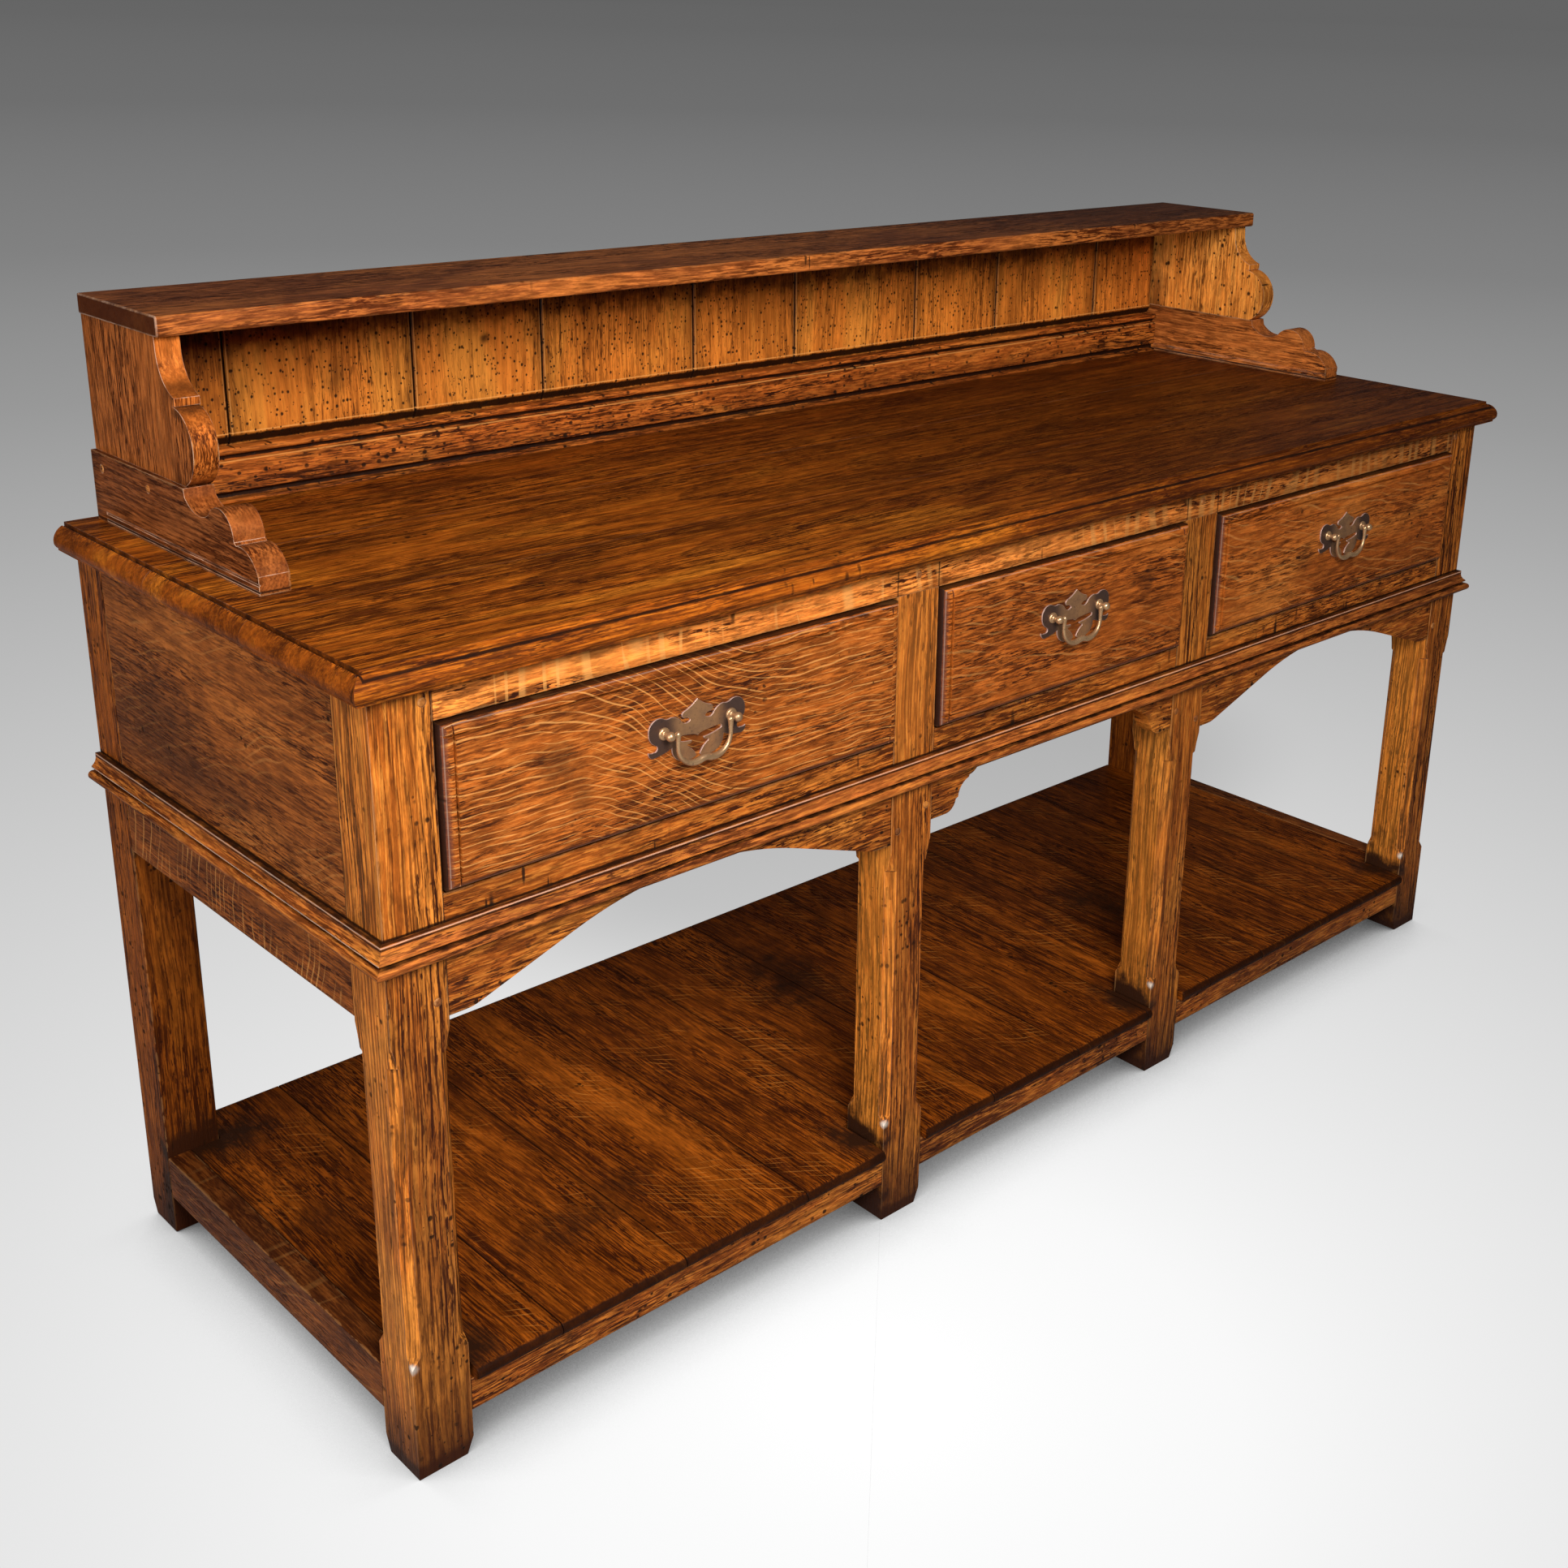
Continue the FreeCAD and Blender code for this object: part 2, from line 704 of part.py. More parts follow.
def moulded_front(x0, x1, z0, z1):
    # Drawer front with a raised field, a quirk and a round moulded edge on all four sides.
    board = block(x0, x1, -front_proud, front_back, z0, z1)
    steps = [
        (-1.0, -front_proud - 1.0),
        (field_inset, -front_proud - 1.0),
        (field_inset, -front_quirk_floor),
        (field_inset - front_quirk, -front_quirk_floor),
        (field_inset - front_quirk, -front_round_high),
        ((3.4, -front_round_high + 1.6), (0.0, -lip_proud)),
        (-1.0, -lip_proud),
    ]
    wide = Vector(x1 - x0 + 2.0, 0, 0)
    tall = Vector(0, 0, z1 - z0 + 2.0)
    wastes = [
        outline(lambda s, y: Vector(x0 - 1.0, y, z0 + s), steps).extrude(wide),
        outline(lambda s, y: Vector(x0 - 1.0, y, z1 - s), steps).extrude(wide),
        outline(lambda s, y: Vector(x0 + s, y, z0 - 1.0), steps).extrude(tall),
        outline(lambda s, y: Vector(x1 - s, y, z0 - 1.0), steps).extrude(tall),
    ]
    for waste in wastes:
        board = board.cut(waste)
    return board


def drawer_side(x0, x1):
    # Side with lapped dovetails at the front.
    side = block(x0, x1, front_back, side_back, side_low, side_high)
    pitch = (side_high - side_low) / tail_count
    tails = []
    for index in range(tail_count):
        mid = side_low + pitch * (index + 0.5)
        root = pitch * tail_root
        tip = pitch * tail_tip
        steps = [
            (front_back, mid - root),
            (front_back, mid + root),
            (front_back - tail_length, mid + tip),
            (front_back - tail_length, mid - tip),
        ]
        tails.append(outline(in_yz(x0), steps).extrude(Vector(x1 - x0, 0, 0)))
    return joined([side] + tails)


def drawer(bay):
    x0, x1 = bays[bay]
    x0 += drawer_gap
    x1 -= drawer_gap
    z0 = drawer_rail_high + drawer_gap
    z1 = top_rail_low - drawer_gap
    inner0 = x0 + side_inset + side_thickness
    inner1 = x1 - side_inset - side_thickness
    left = drawer_side(inner0 - side_thickness, inner0)
    right = drawer_side(inner1, inner1 + side_thickness)
    back_y = side_back - back_set
    bottom_high = bottom_low + bottom_thickness
    bottom = block(inner0 - groove, inner1 + groove, front_back - groove, back_y + back_piece,
                   bottom_low, bottom_high)
    back = block(inner0 - groove, inner1 + groove, back_y, back_y + back_piece, bottom_high, side_high - back_drop)
    posts, nuts, plate, bail = handle((x0 + x1) / 2.0)
    front = moulded_front(x0, x1, z0, z1)
    holes = []
    for sign in (-1.0, 1.0):
        x = (x0 + x1) / 2.0 + sign * post_half
        holes.append(Part.makeCylinder(shank_radius + hole_gap, 2.0 * leg, Vector(x, -leg, handle_height),
                                       Vector(0, 1, 0)))
    front = less(front, [left, right, bottom] + holes)
    left = less(left, [bottom, back])
    right = less(right, [bottom, back])
    return {
        "drawer_front_" + bay: [front],
        "drawer_sides_" + bay: [left, right],
        "drawer_back_" + bay: [back],
        "drawer_bottom_" + bay: [bottom],
        "handle_plate_" + bay: [less(plate, holes)],
        "handle_posts_" + bay: posts + nuts,
        "handle_bail_" + bay: [bail],
    }


def batwing_plate(middle):
    # Half outline from the crown down to the notch, measured from the middle of the post line.
    half_edge = [
        ((7.5, 18.6), (15.5, 15.2)),
        ((17.6, 12.6), (14.0, 9.0)),
        ((11.2, 8.4), (8.3, 6.0)),
        ((12.6, 3.8), (18.4, 7.0)),
        ((23.4, 11.4), (30.0, 13.2)),
        ((33.6, 12.5), (37.0, 13.2)),
        ((50.4, 13.0), (54.8, 3.0)),
        ((52.8, -4.6), (47.0, -9.5)),
        ((45.4, -13.0), (49.5, -15.2)),
        ((52.5, -15.4), (55.5, -14.2)),
        ((54.2, -18.8), (48.0, -20.6)),
        ((40.0, -19.4), (29.5, -16.0)),
        ((25.8, -26.6), (15.5, -31.5)),
        ((8.2, -32.2), (2.0, -29.5)),
        ((5.4, -23.8), (11.0, -19.2)),
        ((11.9, -17.6), (10.4, -16.8)),
        ((8.4, -16.5), (6.8, -15.2)),
        ((6.9, -14.3), (8.0, -14.0)),
        ((16.0, -13.0), (25.0, -10.6)),
        ((27.2, -8.5), (25.0, -6.4)),
        ((14.0, -7.4), (4.9, -8.6)),
        ((2.6, -9.4), (0.0, -11.0)),
    ]
    crown = (0.0, 24.4)
    edges = []
    for sign in (1.0, -1.0):
        here = crown
        for through, end in half_edge:
            points = [Vector(middle + sign * x, -front_proud, handle_height + z) for x, z in (here, through, end)]
            edges.append(Part.Arc(*points).toShape())
            here = end
    wire = Part.Wire(Part.__sortEdges__(edges))
    return Part.Face(wire).extrude(Vector(0, -plate_thickness, 0))


def turned_post(x):
    # Turned post: threaded shank, rose, neck and ball.
    face = -front_proud - plate_thickness
    tail = front_back + nut_thickness + 1.0
    neck = 2.6
    steps = [
        (0.0, tail),
        (shank_radius, tail),
        (shank_radius, face),
        (6.0, face),
        ((5.6, face - 1.6), (3.6, face - 2.4)),
        ((3.0, face - 2.8), (neck, face - 3.6)),
        (neck, ball_y + ball_radius / 2.0),
        (0.0, ball_y + ball_radius / 2.0),
    ]
    turned = outline(in_xy(0.0), steps).revolve(Vector(0, 0, 0), Vector(0, 1, 0), 360.0)
    turned.translate(Vector(x, 0, handle_height))
    ball = Part.makeSphere(ball_radius, Vector(x, ball_y, handle_height))
    return joined([turned, ball])


def nut(x):
    ring = Part.makeCylinder(nut_radius, nut_thickness, Vector(x, front_back, handle_height), Vector(0, 1, 0))
    hole = Part.makeCylinder(shank_radius + hole_gap, leg, Vector(x, 0, handle_height), Vector(0, 1, 0))
    return ring.cut(hole)


def swan_bail(middle):
    # Two straight arms, two large bends and a shallow dip between them, with a ball and a pin at each end.
    turn = math.radians(bail_turn)
    centre = (bail_half - bail_bend, -bail_drop)
    arc_end = (centre[0] + bail_bend * math.cos(turn), centre[1] - bail_bend * math.sin(turn))
    dip_radius = -arc_end[0] / math.cos(turn)
    dip_centre = arc_end[1] - dip_radius * math.sin(turn)
    arc_mid = (centre[0] + bail_bend * math.cos(turn / 2.0), centre[1] - bail_bend * math.sin(turn / 2.0))

    def at(x, z):
        return Vector(middle + x, ball_y, handle_height + z)

    edges = [
        Part.makeLine(at(-bail_half, 0.0), at(-bail_half, -bail_drop)),
        Part.Arc(at(-bail_half, -bail_drop), at(-arc_mid[0], arc_mid[1]), at(-arc_end[0], arc_end[1])).toShape(),
        Part.Arc(at(-arc_end[0], arc_end[1]), at(0.0, dip_centre + dip_radius), at(*arc_end)).toShape(),
        Part.Arc(at(*arc_end), at(*arc_mid), at(bail_half, -bail_drop)).toShape(),
        Part.makeLine(at(bail_half, -bail_drop), at(bail_half, 0.0)),
    ]
    sway = Vector(math.sin(turn / 2.0), 0, math.cos(turn / 2.0))
    rings = [
        (bail_arm, at(-bail_half, -bail_drop / 2.0), Vector(0, 0, -1)),
        (bail_shoulder, at(-arc_mid[0], arc_mid[1]), Vector(sway.x, 0, -sway.z)),
        (bail_grip, at(0.0, dip_centre + dip_radius), Vector(1, 0, 0)),
        (bail_shoulder, at(*arc_mid), sway),
        (bail_arm, at(bail_half, -bail_drop / 2.0), Vector(0, 0, 1)),
    ]
    sweep = Part.BRepOffsetAPI.MakePipeShell(Part.Wire(edges))
    for radius, place, run in rings:
        sweep.add(Part.Wire(Part.makeCircle(radius, place, run)))
    sweep.build()
    sweep.makeSolid()
    pieces = [sweep.shape()]
    for sign in (-1.0, 1.0):
        pieces.append(Part.makeSphere(bail_end, at(sign * bail_half, 0.0)))
        pieces.append(Part.makeCylinder(pin_radius, post_half - bail_half - 1.0, at(sign * bail_half, 0.0),
                                        Vector(sign, 0, 0)))
    return joined(pieces)


def handle(middle):
    posts = []
    nuts = []
    for sign in (-1.0, 1.0):
        x = middle + sign * post_half
        eye = Part.makeCylinder(pin_radius + pin_clearance, ball_radius, Vector(x - sign * 0.5, ball_y, handle_height),
                                Vector(-sign, 0, 0))
        posts.append(turned_post(x).cut(eye))
        nuts.append(nut(x))
    return posts, nuts, batwing_plate(middle), swan_bail(middle)


def build():
    parts = {}
    top_rail, drawer_rails, potboard_rails = front_frame()
    aprons = {bay: apron(bay) for bay in bays}
    side_panel = side_board(apron_joint, top_underside)
    side_apron = side_board(side_apron_low, apron_joint)
    side_rail = potboard_side_rail()
    back_top = rear_rail(back_rail_face, back_rail_thickness, back_top_rail_low, top_underside)
    back_low = rear_rail(back_rail_face, back_rail_thickness, back_foot, drawer_rail_high)
    potboard_back = rear_rail(case_depth - potboard_rail, potboard_rail, potboard_rail_low, potboard_low)

    corner = chamfered_leg(-half, top_underside, {"x1", "y1"})
    rear = leg_blank(-half, -leg_inner, rear_leg_front, case_depth, top_underside, {"y1"})
    legs = {
        "leg_front_left": corner,
        "leg_front_inner_left": inner_leg(-post_high),
        "leg_front_inner_right": inner_leg(post_low),
        "leg_front_right": mirrored(corner),
        "leg_rear_left": rear,
        "leg_rear_right": mirrored(rear),
    }
    places = peg_places()
    holes = [peg_hole(place, inward) for place, inward in places]
    rails = drawer_rails + potboard_rails + list(aprons.values()) + [top_rail, back_top, back_low, potboard_back]
    rails += [side_panel, side_apron, side_rail]
    rails += [mirrored(side_panel), mirrored(side_apron), mirrored(side_rail)]

    inner_legs = [legs["leg_front_inner_left"], legs["leg_front_inner_right"]]
    parts["front_top_rail"] = [less(top_rail, inner_legs + holes)]
    planks = potboard(legs.values())
    for name, shape in legs.items():
        solid = shape
        for rail in rails:
            if solid.BoundBox.intersect(rail.BoundBox) and not (rail is top_rail and "inner" in name):
                solid = solid.cut(rail)
        parts[name] = [less(solid, holes)]

    for name, plank in zip(("front", "middle", "rear"), worktop()):
        parts["top_plank_" + name] = [plank]
    parts["drawer_rails"] = drawer_rails
    for bay, shape in aprons.items():
        parts["apron_" + bay] = [less(shape, holes)]
    for name, shape in (("side_panel", side_panel), ("side_apron", side_apron)):
        parts[name + "_left"] = [shape]
        parts[name + "_right"] = [mirrored(shape)]
    front, left, right = waist_moulding()
    parts["waist_moulding_front"] = [front]
    parts["waist_moulding_left"] = [left]
    parts["waist_moulding_right"] = [right]
    parts["back_top_rail"] = [back_top]
    parts["back_bottom_rail"] = [back_low]
    parts["back_boards"] = case_back()
    parts["drawer_runners"] = drawer_carriers(runner_low, runner_high, runner_high, runner_guide_high)
    parts["drawer_kickers"] = drawer_carriers(kicker_low, kicker_high, kicker_guide_low, kicker_low)
    parts["drawer_stops"] = drawer_stops()

    parts["potboard_planks"] = planks
    parts["potboard_front_rails"] = potboard_rails
    parts["potboard_side_rails"] = [side_rail, mirrored(side_rail)]
    parts["potboard_rear_rail"] = [potboard_back]

    upright = gallery_upright()
    base = less(gallery_base(), [upright] + holes)
    parts["gallery_upright_left"] = [upright]
    parts["gallery_upright_right"] = [mirrored(upright)]
    parts["gallery_base_left"] = [base]
    parts["gallery_base_right"] = [mirrored(base)]
    parts["gallery_shelf"] = [gallery_shelf([upright, mirrored(upright)])]
    parts["gallery_back_rail"] = [gallery_rail()]
    parts["gallery_back_boards"] = gallery_boards()
    parts["joint_pegs"] = [peg(place, inward) for place, inward in places]
    for bay in bays:
        parts.update(drawer(bay))
    return parts


def main():
    os.makedirs("parts", exist_ok=True)
    for name, solids in build().items():
        shape = Part.makeCompound(solids) if len(solids) > 1 else solids[0]
        shape.translate(Vector(0, -origin_y, 0))
        shape.exportStep("parts/" + name + ".step")


main()
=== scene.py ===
import bpy
import json
import math
import random
from mathutils import Matrix, Vector


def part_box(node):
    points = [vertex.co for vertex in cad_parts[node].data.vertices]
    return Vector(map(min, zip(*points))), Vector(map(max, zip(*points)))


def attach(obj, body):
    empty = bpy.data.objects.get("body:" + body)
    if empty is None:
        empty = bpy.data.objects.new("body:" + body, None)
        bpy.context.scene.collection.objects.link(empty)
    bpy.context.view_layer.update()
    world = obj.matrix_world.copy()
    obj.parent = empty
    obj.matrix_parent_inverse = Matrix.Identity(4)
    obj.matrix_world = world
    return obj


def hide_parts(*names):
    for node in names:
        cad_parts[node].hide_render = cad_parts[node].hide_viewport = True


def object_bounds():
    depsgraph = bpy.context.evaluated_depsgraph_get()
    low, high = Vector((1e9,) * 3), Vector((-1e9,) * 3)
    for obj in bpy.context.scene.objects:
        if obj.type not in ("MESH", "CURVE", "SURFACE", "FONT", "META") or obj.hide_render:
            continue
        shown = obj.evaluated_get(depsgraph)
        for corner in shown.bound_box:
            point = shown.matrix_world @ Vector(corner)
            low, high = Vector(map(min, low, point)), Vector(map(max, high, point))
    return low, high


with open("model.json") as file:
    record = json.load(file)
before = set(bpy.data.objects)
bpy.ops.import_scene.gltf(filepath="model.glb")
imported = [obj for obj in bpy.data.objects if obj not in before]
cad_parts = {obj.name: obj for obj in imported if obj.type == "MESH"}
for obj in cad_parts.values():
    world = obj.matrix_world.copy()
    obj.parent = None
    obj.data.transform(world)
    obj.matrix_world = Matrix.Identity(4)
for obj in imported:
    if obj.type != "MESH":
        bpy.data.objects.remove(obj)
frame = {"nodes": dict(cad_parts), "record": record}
cadBox = [list(corner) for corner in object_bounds()]
nodeBody = {node: body for body, nodes in frame["record"]["behaviour"]["bodies"].items() for node in nodes}
print("frame loaded,", len(frame["nodes"]), "nodes")


# node tools

def put(tree, kind, feeds=None, **options):
    node = tree.nodes.new("ShaderNode" + kind)
    for option, value in options.items():
        setattr(node, option, value)
    for key, feed in (feeds or {}).items():
        if isinstance(feed, bpy.types.NodeSocket):
            tree.links.new(feed, node.inputs[key])
        else:
            node.inputs[key].default_value = feed
    return node


def sums(tree, kind, a, b=0.0, c=0.0, clamp=False):
    return put(tree, "Math", {0: a, 1: b, 2: c}, operation=kind, use_clamp=clamp).outputs[0]


def times(tree, a, b):
    return sums(tree, "MULTIPLY", a, b)


def vectorSum(tree, kind, a, b):
    return put(tree, "VectorMath", {0: a, 1: b}, operation=kind).outputs[0]


def lengthOf(tree, vector):
    return put(tree, "VectorMath", {0: vector}, operation="LENGTH").outputs["Value"]


def axesOf(tree, vector):
    return put(tree, "SeparateXYZ", {0: vector}).outputs


def readMark(tree, name, output="Vector"):
    return put(tree, "Attribute", attribute_name=name).outputs[output]


def fade(tree, value, low, high, bottom=0.0, top=1.0):
    return put(tree, "MapRange", {0: value, 1: low, 2: high, 3: bottom, 4: top},
               interpolation_type="SMOOTHSTEP").outputs[0]


def opaque(colour):
    return colour + (1,) if isinstance(colour, tuple) else colour


def blendColour(tree, factor, under, over, way="MIX"):
    return put(tree, "Mix", {0: factor, 6: opaque(under), 7: opaque(over)},
               data_type="RGBA", blend_type=way).outputs[2]


def cloud(tree, place, stretch, scale=1.0, detail=2.0, rough=0.5, twist=0.0):
    spread = vectorSum(tree, "MULTIPLY", place, stretch)
    return put(tree, "TexNoise", {"Vector": spread, "Scale": scale, "Detail": detail,
                                  "Roughness": rough, "Distortion": twist}).outputs


def newGroup(name, inputs, outputs):
    tree = bpy.data.node_groups.new(name, "ShaderNodeTree")
    for way, sockets in (("INPUT", inputs), ("OUTPUT", outputs)):
        for label, kind in sockets:
            tree.interface.new_socket(name=label, in_out=way, socket_type="NodeSocket" + kind)
    return tree, tree.nodes.new("NodeGroupInput").outputs, tree.nodes.new("NodeGroupOutput").inputs


def placeGroup(tree, group, feeds):
    return put(tree, "Group", feeds, node_tree=group).outputs


# in the settings of the groups a noise is its stretch, scale, detail, roughness and twist,
# and a fade is where it starts and ends, with the least and the most it gives

# oak figure: growth rings, streaks, pores, mottling and old polish along the board's own grain
figureSetting = {
    "endLoss": 0.6, "cluster": ((4, 17, 17), 1.0, 2.0, 0.6), "clusterFade": (0.34, 0.66, 0.5, 1.6),
    "wander": ((0.55, 1, 1), 3.2, 3.0, 0.55), "ringDrift": (0.0, 0.05, 0.07), "grainWave": (0.0, 0.03, 0.03),
    "ringTaper": (0.05, 1, 1), "ringRise": (0.35, 0.95), "ringFall": (1.0, 0.95), "ringDepth": 0.6,
    "streak": (1.0, 4.0, 0.66), "darkFade": (0.5, 0.57), "darkDepth": 0.8,
    "paleFade": (0.5, 0.4), "paleDepth": 0.55,
    "pore": ((65, 520, 520), 1.0, 2.0, 0.6), "poreFade": (0.515, 0.58), "poreInRings": 0.6, "poreBetween": 0.5,
    "mottle": ((2.6, 9, 9), 1.0, 5.0, 0.62, 0.8), "toneShift": 0.07, "mottleDark": (0.5, 0.33),
    "mottlePale": (0.5, 0.68), "mottleDepth": 0.75,
    "patina": ((32, 110, 110), 1.0, 4.0, 0.65), "patinaFade": (0.3, 0.7, 0.7, 1.32),
    "poreHeight": -0.7, "streakHeight": -0.5,
}


def makeOakFigure(setting):
    tree, given, result = newGroup(
        "oakFigure",
        [("Grain", "Vector"), ("Place", "Vector"), ("Tone", "Float"), ("Pale", "Color"), ("Mid", "Color"),
         ("Dark", "Color"), ("Ring Size", "Float"), ("Rings", "Float"), ("Streaks", "Float"),
         ("Along", "Float"), ("Across", "Float"), ("Pores", "Float"), ("Mottle", "Float"),
         ("Patina", "Float"), ("End Grain", "Float")],
        [("Color", "Color"), ("Height", "Float"), ("Pore Mask", "Float")])
    place = given["Place"]
    lengthwise = sums(tree, "SUBTRACT", 1.0, times(tree, given["End Grain"], setting["endLoss"]))
    cluster = cloud(tree, place, *setting["cluster"])[0]
    cluster = times(tree, lengthwise, fade(tree, cluster, *setting["clusterFade"]))
    wander = vectorSum(tree, "SUBTRACT", cloud(tree, place, *setting["wander"])[1], (0.5, 0.5, 0.5))
    drift = vectorSum(tree, "MULTIPLY", wander, setting["ringDrift"])
    wavy = vectorSum(tree, "ADD", place, vectorSum(tree, "MULTIPLY", wander, setting["grainWave"]))
    # rings lie round a heart below the board, so they run out as long pointed arches
    heart = vectorSum(tree, "ADD", vectorSum(tree, "MULTIPLY", given["Grain"], setting["ringTaper"]), drift)
    ringSaw = sums(tree, "FRACT", sums(tree, "DIVIDE", lengthOf(tree, heart), given["Ring Size"]))
    early = times(tree, fade(tree, ringSaw, *setting["ringRise"]), fade(tree, ringSaw, *setting["ringFall"]))
    early = times(tree, early, lengthwise)
    # streaks follow the grain for a hand's breadth and more, pores are short dashes
    weave = put(tree, "CombineXYZ", {0: given["Along"], 1: given["Across"], 2: given["Across"]}).outputs[0]
    streak = cloud(tree, wavy, weave, *setting["streak"])[0]
    streakDark = times(tree, fade(tree, streak, *setting["darkFade"]), cluster)
    streakPale = times(tree, fade(tree, streak, *setting["paleFade"]), lengthwise)
    poreMask = fade(tree, cloud(tree, wavy, *setting["pore"])[0], *setting["poreFade"])
    inRings = sums(tree, "MULTIPLY_ADD", early, setting["poreInRings"], setting["poreBetween"])
    poreMask = times(tree, times(tree, poreMask, inRings), times(tree, given["Pores"], cluster))
    mottle = cloud(tree, place, *setting["mottle"])[0]
    mottle = sums(tree, "ADD", mottle, times(tree, given["Tone"], setting["toneShift"]))
    mottleDark = times(tree, fade(tree, mottle, *setting["mottleDark"]), given["Mottle"])
    mottlePale = times(tree, fade(tree, mottle, *setting["mottlePale"]), given["Mottle"])
    colour = blendColour(tree, mottlePale, given["Mid"], given["Pale"])
    colour = blendColour(tree, times(tree, mottleDark, setting["mottleDepth"]), colour, given["Dark"])
    for mask, strength, depth, over in ((early, "Rings", "ringDepth", "Dark"),
                                        (streakPale, "Streaks", "paleDepth", "Pale"),
                                        (streakDark, "Streaks", "darkDepth", "Dark")):
        mask = times(tree, mask, times(tree, given[strength], setting[depth]))
        colour = blendColour(tree, mask, colour, given[over])
    colour = blendColour(tree, poreMask, colour, given["Dark"])
    # old polish in patches a finger's breadth across
    patina = cloud(tree, place, *setting["patina"])[0]
    colour = blendColour(tree, given["Patina"], colour, fade(tree, patina, *setting["patinaFade"]), "MULTIPLY")
    tree.links.new(colour, result["Color"])
    height = sums(tree, "MULTIPLY_ADD", poreMask, setting["poreHeight"],
                  times(tree, streakDark, setting["streakHeight"]))
    tree.links.new(height, result["Height"])
    tree.links.new(poreMask, result["Pore Mask"])
    return tree


# ray flake of quartered oak: pale lines that flow across the face and break up
flakeSetting = {
    "sweep": ((1, 1.5, 0.3), 7.0, 1.0), "jitter": ((1, 1, 0.3), 26.0, 0.5), "jitterDepth": 1.3,
    "brokenFade": (0.36, 0.66, 0.0, 2.0), "lineCore": 0.35,
    "patch": ((1, 1.6, 0.3), 9.0, 2.0), "patchFrom": 0.95, "patchTo": 1.15,
}


def makeRayFlake(setting):
    tree, given, result = newGroup(
        "rayFlake",
        [("Place", "Vector"), ("Tilt", "Float"), ("Drop", "Float"), ("Drop From", "Float"),
         ("Drop To", "Float"), ("Lines", "Float"), ("Width", "Float"), ("Sweep", "Float"), ("Break", "Float"),
         ("Cover", "Float")],
        [("Mask", "Float")])
    place = given["Place"]
    turned = put(tree, "VectorRotate", {"Vector": place, "Axis": (0, 0, 1), "Angle": given["Tilt"]},
                 rotation_type="AXIS_ANGLE").outputs[0]
    across = axesOf(tree, turned)
    drop = fade(tree, across[0], given["Drop From"], given["Drop To"])
    phase = times(tree, across[1], given["Lines"])
    phase = sums(tree, "MULTIPLY_ADD", drop, given["Drop"], phase)
    phase = sums(tree, "MULTIPLY_ADD", cloud(tree, place, *setting["sweep"])[0], given["Sweep"], phase)
    phase = sums(tree, "MULTIPLY_ADD", cloud(tree, place, *setting["jitter"])[0], setting["jitterDepth"],
                 phase)
    ridge = sums(tree, "ABSOLUTE", sums(tree, "SUBTRACT", sums(tree, "FRACT", phase), 0.5))
    along = put(tree, "CombineXYZ", {0: times(tree, across[0], given["Break"]), 1: phase}).outputs[0]
    broken = cloud(tree, along, (1, 1, 1))[0]
    width = times(tree, given["Width"], fade(tree, broken, *setting["brokenFade"]))
    line = fade(tree, ridge, width, times(tree, width, setting["lineCore"]))
    patch = fade(tree, cloud(tree, place, *setting["patch"])[0],
                 sums(tree, "SUBTRACT", setting["patchFrom"], given["Cover"]),
                 sums(tree, "SUBTRACT", setting["patchTo"], given["Cover"]))
    tree.links.new(times(tree, line, patch), result["Mask"])
    return tree


# staining and painted shade that sit along the board's edges, and the worn arris with a painted highlight on it
edgeSetting = {
    "uneven": ((14, 26, 26), 1.0, 3.0, 0.6), "unevenFade": (0.3, 0.75, 0.25, 1.5), "falloff": 1.6,
    "bitten": ((60, 90, 90), 1.0, 3.0, 0.6), "bittenFade": (0.35, 0.65, 0.1, 1.5), "rubCore": 0.4,
}


def makeEdgeStain(setting):
    tree, given, result = newGroup(
        "edgeStain",
        [("From Low", "Vector"), ("To High", "Vector"), ("Grain", "Vector"), ("Reach", "Float"),
         ("Rub", "Float")],
        [("Stain", "Float"), ("Rubbed", "Float")])
    axes = axesOf(tree, vectorSum(tree, "MINIMUM", given["From Low"], given["To High"]))
    lower = sums(tree, "MINIMUM", axes[0], axes[1])
    upper = sums(tree, "MAXIMUM", axes[0], axes[1])
    edge = sums(tree, "MAXIMUM", lower, sums(tree, "MINIMUM", upper, axes[2]))
    uneven = cloud(tree, given["Grain"], *setting["uneven"])[0]
    reach = times(tree, given["Reach"], fade(tree, uneven, *setting["unevenFade"]))
    stain = sums(tree, "SUBTRACT", 1.0, sums(tree, "DIVIDE", edge, reach), clamp=True)
    tree.links.new(sums(tree, "POWER", stain, setting["falloff"]), result["Stain"])
    bitten = cloud(tree, given["Grain"], *setting["bitten"])[0]
    rub = times(tree, given["Rub"], fade(tree, bitten, *setting["bittenFade"]))
    tree.links.new(fade(tree, edge, rub, times(tree, rub, setting["rubCore"])), result["Rubbed"])
    return tree


# pin holes, dents and short splits in old oak
holeSetting = {
    "lengthwise": 0.85, "sizeSpread": 0.34, "sizeLeast": 0.13, "rim": (0.0, 0.5),
    "patch": ((1, 1.3, 1.3), 11.0, 3.0, 0.6), "patchFrom": 0.9, "patchTo": 1.05,
    "split": ((22, 260, 260), 1.0, 2.0, 0.55), "splitFade": (0.7, 0.76),
}


